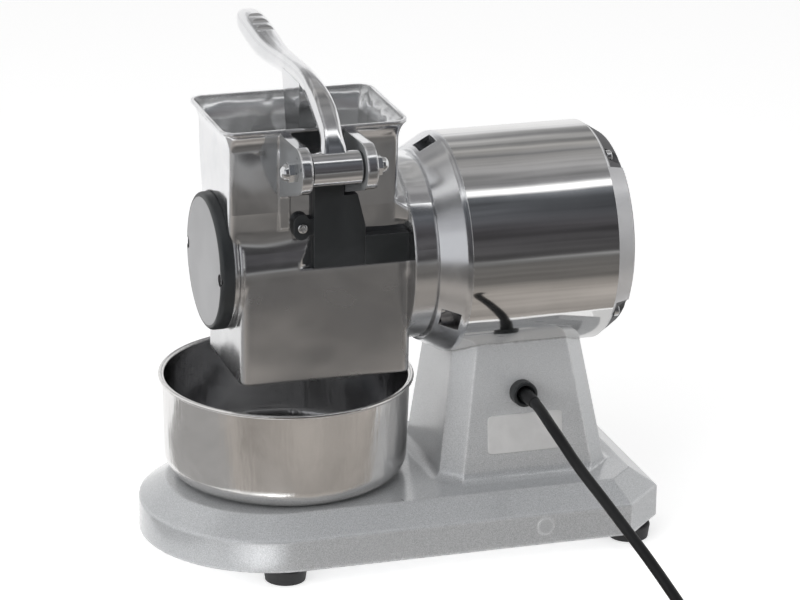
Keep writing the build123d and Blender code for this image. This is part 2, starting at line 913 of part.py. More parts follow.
# End cap, its disc, screws and bush
cap_disc_rear = cap_front + cap_recess_depth
with BuildPart() as end_cap:
    spun(
        [
            (cap_front, 0),
            (cap_front, cap_radius),
            (flange_front, cap_radius),
            (flange_front, chamber_radius - sliding_gap),
            (flange_front + cap_spigot_length, chamber_radius - sliding_gap),
            (flange_front + cap_spigot_length, chamber_radius - sliding_gap - cap_spigot_wall),
            (flange_front, chamber_radius - sliding_gap - cap_spigot_wall),
            (flange_front, cap_boss_radius),
            (cap_boss_rear, cap_boss_radius),
            (cap_boss_rear, 0),
        ]
    )
    fillet(end_cap.faces().sort_by(Axis.X)[0].edges(), radius=cap_round)
    bars(cap_front, cap_disc_rear, cap_recess_radius, mode=Mode.SUBTRACT)
    bars(
        cap_boss_rear - bush_length,
        cap_boss_rear,
        bush_radius + fit_gap,
        mode=Mode.SUBTRACT,
    )
    bars(
        cap_front,
        cap_disc_rear + cap_screw_head,
        cap_notch_radius,
        ring_spots(cap_screw_ring, (0, 180)),
        mode=Mode.SUBTRACT,
    )
    bars(
        cap_front,
        flange_front,
        cap_screw_radius + fit_gap,
        ring_spots(cap_screw_ring, (0, 180)),
        mode=Mode.SUBTRACT,
    )

with BuildPart() as cap_disc:
    bars(cap_front, cap_disc_rear, cap_recess_radius - fit_gap)
    bars(
        cap_front,
        cap_disc_rear,
        cap_notch_radius,
        ring_spots(cap_screw_ring, (0, 180)),
        mode=Mode.SUBTRACT,
    )

with BuildPart() as cap_screws:
    bars(
        cap_disc_rear,
        cap_disc_rear + cap_screw_head,
        cap_screw_head_radius,
        ring_spots(cap_screw_ring, (0, 180)),
    )
    bars(
        cap_disc_rear + cap_screw_head,
        cap_front + cap_screw_length,
        cap_screw_radius,
        ring_spots(cap_screw_ring, (0, 180)),
    )

with BuildPart() as end_bush:
    tube(cap_boss_rear - bush_length, cap_boss_rear, bush_radius, drum_journal_radius + running_gap)

# Grating drum: a toothed shell on two hubs
tooth_pitch = (drum_rear - drum_front) / tooth_rows
tooth_planes = []
for row in range(tooth_rows):
    for step in range(teeth_round):
        angle = radians(360 / teeth_round * (step + row % 2 / 2))
        outwards = Vector(0, cos(angle), sin(angle))
        foot = Vector(drum_front + tooth_pitch * (row + 0.5), axis_y, axis_height)
        tooth_planes.append(
            Plane(origin=foot + outwards * (drum_radius - 1), x_dir=(1, 0, 0), z_dir=outwards)
        )

with BuildPart() as grating_drum:
    bars(drum_front, drum_rear, drum_radius)
    with BuildSketch(*tooth_planes):
        Rectangle(tooth_length, tooth_width)
    extrude(amount=tooth_height + 1, taper=tooth_taper)
    bars(drum_front, drum_rear, drum_radius - drum_wall, mode=Mode.SUBTRACT)

key_spot = (0, axis_height + shaft_radius)
with BuildPart() as drum_key:
    with BuildSketch(across(drum_rear - key_length)):
        with Locations(key_spot):
            Rectangle(key_width, key_height)
    extrude(amount=key_length)

with BuildPart() as drum_hubs:
    for start in (drum_front, drum_rear - drum_hub_length):
        tube(
            start,
            start + drum_hub_length,
            drum_radius - drum_wall - running_gap,
            shaft_radius + running_gap,
        )
    with BuildSketch(across(drum_rear - drum_hub_length)):
        with Locations(key_spot):
            Rectangle(key_width + running_gap, key_height + running_gap)
    extrude(amount=drum_hub_length, mode=Mode.SUBTRACT)

# Motor shaft with its rotor and bearings
front_bearing_x = sheath_front - front_bearing_width
rear_bearing_x = shield_front
with BuildPart() as motor_shaft:
    spun(
        [
            (cap_boss_rear - bush_length, 0),
            (cap_boss_rear - bush_length, drum_journal_radius),
            (drum_front, drum_journal_radius),
            (drum_front, shaft_radius),
            (rear_bearing_x, shaft_radius),
            (rear_bearing_x, rear_journal_radius),
            (shaft_rear, rear_journal_radius),
            (shaft_rear, 0),
        ]
    )
    with BuildSketch(across(drum_rear - key_length)):
        with Locations(key_spot):
            Rectangle(key_width + running_gap, key_height + running_gap)
    extrude(amount=key_length, mode=Mode.SUBTRACT)

with BuildPart() as rotor_core:
    tube(stator_front, stator_rear, stator_bore - rotor_gap, shaft_radius + running_gap)

with BuildPart() as front_bearing_inner:
    tube(
        front_bearing_x,
        front_bearing_x + front_bearing_width,
        shaft_radius + running_gap + bearing_race,
        shaft_radius + running_gap,
    )

with BuildPart() as front_bearing_outer:
    tube(
        front_bearing_x,
        front_bearing_x + front_bearing_width,
        front_bearing_radius,
        shaft_radius + 2 * running_gap + bearing_race,
    )

with BuildPart() as rear_bearing_inner:
    tube(
        rear_bearing_x,
        rear_bearing_x + rear_bearing_width,
        rear_journal_radius + running_gap + bearing_race,
        rear_journal_radius + running_gap,
    )

with BuildPart() as rear_bearing_outer:
    tube(
        rear_bearing_x,
        rear_bearing_x + rear_bearing_width,
        rear_bearing_radius,
        rear_journal_radius + 2 * running_gap + bearing_race,
    )

# Motor casing: front bell, sheath, stator, rear shield and rear cap
hub_wall = front_bearing_radius + bell_wall


def pocket_slots(x, radius):
    """The three screw pockets' outline, each a slot that runs outwards from its screw."""
    with BuildSketch(across(x)) as outline:
        for angle in pocket_angles:
            with Locations(Location((0, axis_height, 0), (0, 0, angle))):
                with Locations(((pocket_inner + pocket_outer) / 2, 0)):
                    SlotCenterToCenter(pocket_outer - pocket_inner, 2 * radius)
    return outline.sketch


with BuildPart() as pocket_bosses:
    boss_length = pocket_rear + pocket_wall - collar_rear
    extrude(pocket_slots(collar_rear, pocket_radius + pocket_wall), amount=boss_length)
    spun(
        [
            (collar_rear, 0),
            (collar_rear, bell_shoulder_radius - pocket_setback),
            (bell_shoulder_x, sheath_radius - pocket_setback),
            (sheath_front, sheath_radius - pocket_setback),
            (sheath_front, 0),
        ],
        mode=Mode.INTERSECT,
    )

with BuildPart() as front_bell:
    spun(
        [
            (collar_rear - register_depth, shaft_radius + bearing_race),
            (collar_rear - register_depth, register_radius - fit_gap),
            (collar_rear, register_radius - fit_gap),
            (collar_rear, bell_shoulder_radius),
            (bell_shoulder_x, sheath_radius),
            (sheath_front, sheath_radius),
            (sheath_front, sheath_bore - fit_gap),
            (sheath_front + spigot_length, sheath_bore - fit_gap),
            (sheath_front + spigot_length, sheath_bore - bell_wall),
            (tie_front, sheath_bore - bell_wall),
            (collar_rear + bell_wall, bell_shoulder_radius - 2 * bell_wall),
            (collar_rear + bell_wall, hub_wall),
            (sheath_front, hub_wall),
            (sheath_front, front_bearing_radius + fit_gap),
            (front_bearing_x, front_bearing_radius + fit_gap),
            (front_bearing_x, shaft_radius + bearing_race),
        ]
    )
    shoulder = front_bell.edges().filter_by(GeomType.CIRCLE)
    fillet(
        shoulder.filter_by(
            lambda e: abs(e.radius - sheath_radius) < fit_gap and e.center().X < sheath_front - 1
        ),
        radius=bell_wall,
    )
    add(pocket_bosses.part)
    extrude(pocket_slots(pocket_front, pocket_radius), amount=pocket_rear - pocket_front, mode=Mode.SUBTRACT)
    bars(
        collar_rear,
        pocket_front,
        bell_screw_radius + fit_gap,
        ring_spots(bell_screw_ring, pocket_angles),
        mode=Mode.SUBTRACT,
    )
    bars(
        tie_front,
        sheath_front + spigot_length,
        tie_radius + fit_gap,
        ring_spots(tie_ring, tie_angles),
        mode=Mode.SUBTRACT,
    )

with BuildPart() as bell_screws:
    spots = ring_spots(bell_screw_ring, pocket_angles)
    bars(pocket_front, pocket_front + bell_screw_head, bell_screw_head_radius, spots)
    bars(pocket_front - bell_screw_length, pocket_front, bell_screw_radius, spots)

with BuildPart() as motor_sheath:
    tube(sheath_front, sheath_rear, sheath_radius, sheath_bore)

with BuildPart() as stator_core:
    tube(stator_front, stator_rear, sheath_bore - fit_gap, stator_bore)
    with BuildSketch(across(stator_front)):
        with Locations((0, axis_height)):
            with PolarLocations(stator_bore, slot_count):
                Rectangle(2 * slot_depth, slot_width)
    extrude(amount=stator_rear - stator_front, mode=Mode.SUBTRACT)
    bars(
        stator_front,
        stator_rear,
        tie_radius + sliding_gap,
        ring_spots(tie_ring, tie_angles),
        mode=Mode.SUBTRACT,
    )

with BuildPart() as stator_windings:
    tube(stator_front - winding_length, stator_front, winding_outer, winding_inner)
    tube(stator_rear, stator_rear + winding_length, winding_outer, winding_inner)
    fillet(stator_windings.edges().filter_by(GeomType.CIRCLE), radius=winding_length / 3)

with BuildPart() as rear_shield:
    tube(shield_front, shield_front + shield_thickness, sheath_bore - fit_gap, rear_bearing_radius + fit_gap)
    tube(
        shield_front,
        shield_front + rear_bearing_width,
        rear_bearing_radius + bell_wall,
        rear_bearing_radius + fit_gap,
    )
    bars(
        shield_front,
        shield_front + shield_thickness,
        tie_radius + sliding_gap,
        ring_spots(tie_ring, tie_angles),
        mode=Mode.SUBTRACT,
    )

with BuildPart() as rear_cap:
    spun(
        [
            (sheath_rear - spigot_length, sheath_bore - fit_gap),
            (sheath_rear, sheath_bore - fit_gap),
            (sheath_rear, sheath_radius - fit_gap),
            (rear_cap_rear, sheath_radius - rear_cap_taper),
            (rear_cap_rear, 0),
            (rear_cap_rear - rear_cap_wall, 0),
            (rear_cap_rear - rear_cap_wall, fan_radius + rear_cap_wall),
            (sheath_rear - spigot_length, fan_radius + 2 * rear_cap_wall),
        ]
    )
    fillet(rear_cap.faces().sort_by(Axis.X)[-1].edges(), radius=rear_cap_round)
    # raised pads on the two sides, each swept through its arc
    for middle in rear_pad_angles:
        start = radians(middle - rear_pad_arc / 2)
        spoke = Plane(motor_axis.position, x_dir=(1, 0, 0), z_dir=(0, -sin(start), cos(start)))
        with BuildSketch(spoke):
            with BuildLine():
                Polyline(
                    (sheath_rear, sheath_radius - rear_pad_wall),
                    (rear_cap_rear - fit_gap, sheath_radius - rear_pad_wall),
                    (rear_cap_rear - fit_gap, sheath_radius - rear_pad_taper - rear_pad_round),
                    (rear_cap_rear - rear_pad_round / 2, sheath_radius - rear_pad_taper),
                    (sheath_rear, sheath_radius),
                    close=True,
                )
            make_face()
        revolve(axis=motor_axis, revolution_arc=rear_pad_arc)
    bars(
        rear_pocket_front,
        rear_cap_rear,
        rear_pocket_radius,
        ring_spots(tie_ring, tie_angles),
        mode=Mode.SUBTRACT,
    )
    bars(
        sheath_rear - spigot_length,
        rear_pocket_front,
        tie_radius + fit_gap,
        ring_spots(tie_ring, tie_angles),
        mode=Mode.SUBTRACT,
    )
    with BuildSketch(across(rear_cap_rear)):
        with Locations((0, axis_height)):
            with PolarLocations((vent_inner + vent_outer) / 2, vent_count):
                SlotOverall(vent_outer - vent_inner, vent_width)
    extrude(amount=-rear_cap_wall, mode=Mode.SUBTRACT)

with BuildPart() as tie_rods:
    bars(tie_front, rear_pocket_front, tie_radius, ring_spots(tie_ring, tie_angles))
    bars(rear_pocket_front, rear_pocket_front + tie_head, tie_head_radius, ring_spots(tie_ring, tie_angles))

with BuildPart() as cooling_fan:
    tube(fan_front, fan_front + fan_disc, fan_radius, rear_journal_radius + running_gap)
    tube(fan_front, fan_front + fan_depth, fan_hub_radius, rear_journal_radius + running_gap)
    with BuildSketch(across(fan_front)):
        with Locations((0, axis_height)):
            with PolarLocations((fan_hub_radius + fan_radius) / 2, fan_blades):
                Rectangle(fan_radius - fan_hub_radius + fan_blade, fan_blade)
    extrude(amount=fan_depth)

# Press lever: barrel, curved arm that widens into a grip, and a stem that carries the presser
# Each station is Y from the motor axis, height, slope, width and thickness.
lever_stations = [
    (hinge_y + 2, hinge_height + 6, 80, arm_width + root_flare, 15),
    (hinge_y + 3.5, hinge_height + 12, 76, arm_width + root_flare / 2, 13),
    (hinge_y + 6.5, hinge_height + 18.5, 70, arm_width, 11),
    (hinge_y + 17, hinge_height + 29, 50, arm_width, 11),
    (hinge_y + 35, hinge_height + 39, 28, arm_width, 13),
    (hinge_y + 62, hinge_height + 45, 8, neck_width + 0.5, 15),
    (hinge_y + 100, hinge_height + 45.5, -2, neck_width, 15),
    (hinge_y + 140, hinge_height + 43.5, -1, neck_width + 2, 16.5),
    (hinge_y + 172, hinge_height + 43.5, 4, grip_width - 1, 21),
    (hinge_y + 204, hinge_height + 47, 9, grip_width, 22),
    (handle_reach - 9, hinge_height + 49.5, 10, grip_width - 4, 15),
    (handle_reach, hinge_height + 50.5, 10, grip_width - 11, 6),
]


def lever_section(y, z, slope, width, thickness):
    """A rounded section of the lever, square to its run."""
    run = (0, cos(radians(slope)), sin(radians(slope)))
    with BuildSketch(Plane(origin=(lever_x, axis_y + y, z), x_dir=(1, 0, 0), z_dir=run)) as section:
        RectangleRounded(width, thickness, 0.42 * min(width, thickness))
    return section.sketch


barrel_left = lever_x - ear_gap / 2 + washer_thickness + fit_gap
barrel_right = lever_x + ear_gap / 2 - washer_thickness - fit_gap
stem_top = hinge_height + 44
grip_middle = handle_reach - grip_scallop_back
with BuildPart() as press_lever:
    loft([lever_section(*station) for station in lever_stations])
    scallop_height = hinge_height + grip_scallop_height + grip_scallop_radius - grip_scallop_depth
    for step in range(grip_scallops):
        along = grip_scallop_pitch * (step - (grip_scallops - 1) / 2)
        bars(
            lever_x - grip_width,
            lever_x + grip_width,
            grip_scallop_radius,
            [(grip_middle + along, scallop_height + 0.14 * along)],
            mode=Mode.SUBTRACT,
        )
    with BuildSketch(across(lever_x - stem_width / 2)):
        Polygon(
            (-22, stem_top),
            (24, stem_top),
            (12.5, hinge_height),
            (7, stem_foot),
            (-16, stem_foot),
            (-20, hinge_height),
            align=None,
        )
    extrude(amount=stem_width)
    bars(barrel_left, barrel_right, barrel_radius, [(hinge_y, hinge_height)])
    bars(barrel_left, barrel_right, pin_radius + running_gap, [(hinge_y, hinge_height)], mode=Mode.SUBTRACT)
    with BuildSketch(facing(hinge_y + barrel_radius)):
        with Locations((lever_x, hinge_height)):
            Circle(magnet_radius + fit_gap)
    extrude(amount=magnet_length, mode=Mode.SUBTRACT)
    with BuildSketch(level(stem_foot)):
        with Locations((lever_x, -4.5)):
            with GridLocations(1, presser_screw_pitch, 1, 2):
                Circle(presser_screw_radius + fit_gap)
    extrude(amount=presser_screw_length, mode=Mode.SUBTRACT)

with BuildPart() as lever_magnet:
    with BuildSketch(facing(hinge_y + barrel_radius - fit_gap)):
        with Locations((lever_x, hinge_height)):
            Circle(magnet_radius)
    extrude(amount=magnet_length - fit_gap)

# Presser plate: a curved plate that follows the drum, with a pad under the stem
presser_left = hopper_left + hopper_wall + swing_gap
presser_right = hopper_right - hopper_wall - swing_gap
presser_far_radius = hopper_far_inner - swing_gap
presser_crown = axis_height + presser_radius
with BuildPart() as presser_plate:
    with BuildSketch(across(presser_left)):
        with Locations((0, axis_height)):
            Circle(presser_radius + presser_thickness)
        with Locations((0, axis_height)):
            Circle(presser_radius, mode=Mode.SUBTRACT)
        with Locations((hinge_y, hinge_height)):
            Circle(presser_far_radius, mode=Mode.INTERSECT)
        with Locations((-presser_near, axis_height)):
            Rectangle(
                4 * presser_near, 2 * presser_radius, align=(Align.MIN, Align.MIN), mode=Mode.INTERSECT
            )
    extrude(amount=presser_right - presser_left)
    with BuildSketch(across(lever_x - presser_pad_half)):
        with Locations((-4.5, presser_crown)):
            Rectangle(2 * presser_pad_half + 4, stem_foot - presser_crown, align=(Align.CENTER, Align.MIN))
    extrude(amount=2 * presser_pad_half)
    with BuildSketch(level(presser_crown - presser_thickness)):
        with Locations((lever_x, -4.5)):
            with GridLocations(1, presser_screw_pitch, 1, 2):
                Circle(presser_screw_radius + fit_gap)
    extrude(amount=stem_foot, mode=Mode.SUBTRACT)
    with BuildSketch(level(presser_crown - presser_thickness)):
        with Locations((lever_x, -4.5)):
            with GridLocations(1, presser_screw_pitch, 1, 2):
                Circle(presser_screw_head_radius + fit_gap)
    extrude(amount=presser_thickness + presser_screw_head, mode=Mode.SUBTRACT)

with BuildPart() as presser_screws:
    with BuildSketch(level(presser_crown)):
        with Locations((lever_x, -4.5)):
            with GridLocations(1, presser_screw_pitch, 1, 2):
                Circle(presser_screw_head_radius)
    extrude(amount=presser_screw_head)
    with BuildSketch(level(presser_crown + presser_screw_head)):
        with Locations((lever_x, -4.5)):
            with GridLocations(1, presser_screw_pitch, 1, 2):
                Circle(presser_screw_radius)
    extrude(amount=presser_screw_length)

# Hinge pin, washers and domed nuts
with BuildPart() as hinge_pin:
    bars(ear_left - nut_height, ear_right + nut_height, pin_radius, [(hinge_y, hinge_height)])

with BuildPart() as hinge_washers:
    for start in (lever_x - ear_gap / 2, lever_x + ear_gap / 2 - washer_thickness):
        bars(start, start + washer_thickness, washer_radius, [(hinge_y, hinge_height)])
    bars(ear_left, ear_right, pin_radius + running_gap, [(hinge_y, hinge_height)], mode=Mode.SUBTRACT)

with BuildPart() as hinge_nuts:
    for seat, way in ((ear_left, -1), (ear_right, 1)):
        with BuildSketch(across(seat)):
            with Locations((hinge_y, hinge_height)):
                RegularPolygon(nut_across / 2, 6, major_radius=False)
        extrude(amount=way * nut_height)
        with BuildSketch(across(seat + way * nut_height)):
            with Locations((hinge_y, hinge_height)):
                Circle(0.46 * nut_across)
        extrude(amount=way * nut_dome)
    ends = hinge_nuts.faces().sort_by(Axis.X)
    fillet(ends[0].edges() + ends[-1].edges(), radius=0.9 * nut_dome)
    bars(
        ear_left - nut_height,
        ear_right + nut_height,
        pin_radius + running_gap,
        [(hinge_y, hinge_height)],
        mode=Mode.SUBTRACT,
    )

# Safety switch cover between the ears, with a lug for its screw and a duct to the collar
box_right = lever_x + cover_box_half
with BuildPart() as switch_cover:
    with BuildSketch(facing(-hopper_near)):
        with Locations((lug_x, lug_height)):
            SlotCenterToCenter(lug_tall, 2 * lug_radius, rotation=90)
        with Locations((lug_x, lug_height)):
            Rectangle(cover_left - lug_x + 1, 2 * lug_radius, align=(Align.MIN, Align.CENTER))
    extrude(amount=lug_depth)
    with BuildSketch(facing(-hopper_near)):
        Polygon(
            (cover_left, cover_bottom),
            (cover_right, cover_bottom),
            (cover_right, cover_bottom + duct_height + 8),
            (cover_right - 6, cover_step),
            (box_right, cover_step),
            (box_right, cover_box_bottom),
            (cover_left, cover_box_bottom),
            align=None,
        )
    extrude(amount=cover_depth)
    with BuildSketch(facing(-hopper_near)):
        with Locations((lever_x, cover_box_bottom)):
            Rectangle(2 * cover_box_half, cover_box_top - cover_box_bottom, align=(Align.CENTER, Align.MIN))
    extrude(amount=cover_box_depth)
    fillet(switch_cover.faces().sort_by(Axis.Y)[0].edges(), radius=cover_round)
    with BuildSketch(across(cover_right)):
        with Locations((-hopper_near, cover_bottom)):
            Rectangle(duct_depth, duct_height, align=(Align.MAX, Align.MIN))
    extrude(amount=collar_front - fit_gap - cover_right)
    with BuildSketch(facing(-hopper_near)):
        with Locations((lever_x, sensor_z)):
            Rectangle(sensor_width + 2 * fit_gap, sensor_height + 2 * fit_gap)
    extrude(amount=sensor_depth + fit_gap, mode=Mode.SUBTRACT)
    with BuildSketch(facing(-hopper_near)):
        with Locations((lug_x, lug_height)):
            Circle(lug_screw_radius + fit_gap)
    extrude(amount=lug_depth, mode=Mode.SUBTRACT)

with BuildPart() as cover_screw:
    with BuildSketch(facing(-hopper_near - lug_depth)):
        with Locations((lug_x, lug_height)):
            Circle(lug_screw_head_radius)
    extrude(amount=lug_screw_head)
    with BuildSketch(facing(-hopper_near - lug_depth)):
        with Locations((lug_x, lug_height)):
            Circle(lug_screw_radius)
    extrude(amount=-lug_screw_length)

with BuildPart() as reed_sensor:
    with BuildSketch(facing(-hopper_near)):
        with Locations((lever_x, sensor_z)):
            Rectangle(sensor_width, sensor_height)
    extrude(amount=sensor_depth)

# Mains cord as straight runs joined by large tangent arcs, from the gland's mouth to the coil
gland_throat = gland_length - gland_mouth_depth
route = [
    gland_plane.offset(gland_throat).origin,
    gland_plane.offset(gland_throat + cord_start).origin,
    *[Vector(x, axis_y + y, z) for x, y, z in cord_route],
]
cord_radii = []
for before, corner, after in zip(route, route[1:], route[2:]):
    turn = radians((corner - before).get_angle(after - corner))
    shorter = min((corner - before).length, (after - corner).length)
    cord_radii.append(0.45 * shorter / tan(turn / 2))
print("cord radii", [round(r, 1) for r in cord_radii])

with BuildPart() as power_cord:
    with BuildLine() as cord_path:
        FilletPolyline(*route, radius=cord_radii)
    with BuildSketch(Plane(origin=route[0], z_dir=route[1] - route[0])):
        Circle(cord_radius)
    sweep()
cord_length = cord_path.wire().length
print("cord tube", power_cord.part.volume / (3.14159265 * cord_radius**2 * cord_length), cord_length)

with BuildPart() as cord_coil:
    with BuildSketch(Plane(origin=(coil_x, axis_y + coil_y, 0), x_dir=(1, 0, 0), z_dir=(0, -1, 0))):
        with Locations((coil_radius, coil_height / 2)):
            RectangleRounded(coil_width, coil_height, cord_radius)
    revolve(axis=Axis((coil_x, axis_y + coil_y, 0), (0, 0, 1)))

plug_plane = Plane(origin=(plug_x, axis_y + plug_y, plug_radius), x_dir=(0, 0, 1), z_dir=(0, -1, 0))
with BuildPart() as plug_body_piece:
    with BuildSketch(plug_plane):
        Polygon(
            (0, 0),
            (boot_radius, 0),
            (boot_radius + 1.5, boot_length),
            (plug_radius - 4, boot_length + 3),
            (plug_radius, boot_length + 10),
            (plug_radius, boot_length + plug_body),
            (0, boot_length + plug_body),
            align=None,
        )
    revolve(axis=Axis(plug_plane.origin, (-1, 0, 0)))

pin_face = (plug_x - boot_length - plug_body, axis_y + plug_y, plug_radius)
with BuildPart() as plug_pins:
    with BuildSketch(Plane(origin=pin_face, x_dir=(0, 1, 0), z_dir=(-1, 0, 0))):
        with GridLocations(plug_pin_spacing, 1, 2, 1):
            Circle(plug_pin_radius)
    extrude(amount=plug_pin_length)

pieces = {
    "base_casting": base_casting,
    "bottom_cover": bottom_cover,
    "rubber_feet": rubber_feet,
    "foot_screws": foot_screws,
    "cable_gland": cable_gland,
    "gland_nut": gland_nut,
    "run_capacitor": run_capacitor,
    "terminal_block": terminal_block,
    "switch_housing": switch_housing,
    "start_button": start_button,
    "stop_button": stop_button,
    "collecting_bowl": collecting_bowl,
    "head_casting": head_casting,
    "shaft_seal": shaft_seal,
    "end_cap": end_cap,
    "cap_disc": cap_disc,
    "cap_screws": cap_screws,
    "end_bush": end_bush,
    "grating_drum": grating_drum,
    "drum_hubs": drum_hubs,
    "drum_key": drum_key,
    "motor_shaft": motor_shaft,
    "rotor_core": rotor_core,
    "front_bearing_inner": front_bearing_inner,
    "front_bearing_outer": front_bearing_outer,
    "rear_bearing_inner": rear_bearing_inner,
    "rear_bearing_outer": rear_bearing_outer,
    "front_bell": front_bell,
    "bell_screws": bell_screws,
    "motor_sheath": motor_sheath,
    "stator_core": stator_core,
    "stator_windings": stator_windings,
    "rear_shield": rear_shield,
    "rear_cap": rear_cap,
    "tie_rods": tie_rods,
    "cooling_fan": cooling_fan,
    "press_lever": press_lever,
    "lever_magnet": lever_magnet,
    "presser_plate": presser_plate,
    "presser_screws": presser_screws,
    "hinge_pin": hinge_pin,
    "hinge_washers": hinge_washers,
    "hinge_nuts": hinge_nuts,
    "switch_cover": switch_cover,
    "cover_screw": cover_screw,
    "reed_sensor": reed_sensor,
    "power_cord": power_cord,
    "cord_coil": cord_coil,
    "plug_body": plug_body_piece,
    "plug_pins": plug_pins,
}
for name, piece in pieces.items():
    piece.part.label = name
    export_step(piece.part, f"parts/{name}.step")
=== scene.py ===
import json
import math

import bpy
import numpy as np
from mathutils import Matrix, Vector


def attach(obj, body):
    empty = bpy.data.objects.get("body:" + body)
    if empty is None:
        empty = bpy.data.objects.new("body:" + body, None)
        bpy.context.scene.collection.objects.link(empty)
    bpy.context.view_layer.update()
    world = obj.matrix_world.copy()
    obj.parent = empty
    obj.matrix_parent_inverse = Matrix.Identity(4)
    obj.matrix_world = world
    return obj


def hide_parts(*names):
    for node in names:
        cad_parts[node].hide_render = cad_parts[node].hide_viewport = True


# Looks of an electric cheese grater. Metres, in the frame of the CAD model: X along the motor axis, Z up.
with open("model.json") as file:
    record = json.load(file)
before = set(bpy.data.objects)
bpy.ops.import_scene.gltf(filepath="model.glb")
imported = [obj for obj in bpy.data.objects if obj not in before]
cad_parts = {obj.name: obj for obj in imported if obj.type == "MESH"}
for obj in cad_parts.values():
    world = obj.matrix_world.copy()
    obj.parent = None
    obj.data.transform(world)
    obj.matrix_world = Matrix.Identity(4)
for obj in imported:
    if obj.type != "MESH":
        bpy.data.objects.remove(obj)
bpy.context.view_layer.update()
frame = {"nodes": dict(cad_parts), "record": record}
scene = bpy.context.scene
scene.view_settings.view_transform = "Standard"

# Places on the CAD model, and where a finish or a painted shade changes on it
axis = np.array((0.0, -0.023, 0.2275))
pedestal_foot, pedestal_half = 0.054, 0.055
pedestal_slope = 10.5 / 116
face_out = np.array((0.0, -1.0, pedestal_slope)) / math.hypot(1, pedestal_slope)
hopper_middle = (-0.073, -0.026, 0.31)
hopper_floor, hopper_flare = 0.255, 0.329
spout_satin = 0.212
ear_bottom, ear_root = 0.2835, -0.069
stem_shade_top, stem_front = 0.3463, -0.0455
bowl_middle = (-0.0783, -0.011, 0.1)


def pedestal_front(x, z):
    """The point of the pedestal's cord side at x and height z."""
    return np.array((x, axis[1] - pedestal_half + pedestal_slope * (z - pedestal_foot), z))


# Camera at the photograph's angle
def photo_camera():
    """A long lens, turned by azimuth, elevation and a slight roll."""
    azimuth, elevation, roll = (math.radians(a) for a in (-17.88, 19.42, 0.88))
    place = (-0.80185, -2.52864, 1.11143)
    focal_length, sensor_width, sight = 168.45, 36, 20
    back = Vector((
        math.sin(azimuth) * math.cos(elevation),
        -math.cos(azimuth) * math.cos(elevation),
        math.sin(elevation),
    ))
    level = Vector((math.cos(azimuth), math.sin(azimuth), 0))
    upright = back.cross(level)
    right = level * math.cos(roll) + upright * math.sin(roll)
    up = upright * math.cos(roll) - level * math.sin(roll)
    lens = bpy.data.cameras.new("photo_camera")
    lens.lens = focal_length
    lens.sensor_width = sensor_width
    lens.sensor_fit = "HORIZONTAL"
    lens.clip_end = sight
    camera = bpy.data.objects.new("photo_camera", lens)
    turn = Matrix((right, up, back)).transposed().to_4x4()
    turn.translation = place
    camera.matrix_world = turn
    scene.collection.objects.link(camera)
    scene.camera = camera


photo_camera()

# Mains cord: the route of the CAD tube, then the coil's turns, then the lead to the plug.
# Millimetres, with Y from the motor axis.
cord_route = [
    (87.0, -54.01, 120.45),
    (87.0, -73.92, 122.25),
    (84.6, -99.0, 123.6),
    (83.0, -121.0, 122.2),
    (83.4, -144.0, 118.2),
    (86.5, -175.0, 108.0),
    (94.0, -205.0, 95.5),
    (104.0, -231.0, 79.0),
    (113.0, -248.0, 65.0),
    (125.0, -273.0, 43.5),
    (131.0, -289.0, 31.5),
    (136.0, -306.0, 21.0),
    (140.0, -324.0, 12.3),
    (142.8, -343.0, 6.4),
    (144.4, -364.0, 4.0),
    (144.2, -392.0, 4.0),
]
cord_lead = [(71.0, -444.2, 14.2), (55.0, -445.0, 18.0)]
coil_middle = np.array((86.0, -392.0))
coil_turns, turn_steps = 5.25, 16
cord_radius = 0.004


def mains_cord():
    """A smooth spline. Its coil spirals inwards on the floor, climbs, and spirals outwards on top."""
    turns = np.arange(1, coil_turns * turn_steps + 1) / turn_steps
    radius = np.interp(turns, (0, 3, 3.5, 4.1, coil_turns), (57.6, 33.0, 32.8, 40.6, 50.0))
    height = np.interp(turns, (0, 2.85, 3.45), (4, 4, 12.3))
    angle = -2 * np.pi * turns
    coil = np.column_stack((
        coil_middle[0] + radius * np.cos(angle),
        coil_middle[1] + radius * np.sin(angle),
        height,
    ))
    points = np.vstack((cord_route, coil, cord_lead)) / 1000
    points[:, 1] += axis[1]
    curve = bpy.data.curves.new("mains_cord", "CURVE")
    curve.dimensions = "3D"
    spline = curve.splines.new("NURBS")
    spline.points.add(len(points) - 1)
    spline.points.foreach_set("co", np.column_stack((points, np.ones(len(points)))).ravel())
    spline.order_u = 3
    spline.use_endpoint_u = True
    spline.resolution_u = 6
    curve.bevel_depth = cord_radius
    curve.bevel_resolution = 4
    curve.use_fill_caps = True
    piece = bpy.data.objects.new("mains_cord", curve)
    scene.collection.objects.link(piece)
    return piece


cord = mains_cord()


# Surfaces on a grid
def surface(name, *grids, around=True, along=False):
    """One smooth mesh over grids of points, closed in their second direction (around) or first (along)."""
    faces, start = [], 0
    for grid in grids:
        rows, columns = grid.shape[:2]
        index = start + np.arange(rows * columns).reshape(rows, columns)
        start += rows * columns
        if around:
            index = np.hstack((index, index[:, :1]))
        if along:
            index = np.vstack((index, index[:1]))
        quads = np.stack((index[:-1, :-1], index[:-1, 1:], index[1:, 1:], index[1:, :-1]), axis=-1)
        faces.extend(quads.reshape(-1, 4).tolist())
    mesh = bpy.data.meshes.new(name)
    mesh.from_pydata(np.vstack([grid.reshape(-1, 3) for grid in grids]), [], faces)
    mesh.polygons.foreach_set("use_smooth", np.ones(len(faces), dtype=bool))
    mesh.update()
    piece = bpy.data.objects.new(name, mesh)
    scene.collection.objects.link(piece)
    return piece


def full_turn(steps):
    """Angles round a circle, without the last that meets the first."""
    return np.linspace(0, 2 * np.pi, steps, endpoint=False)


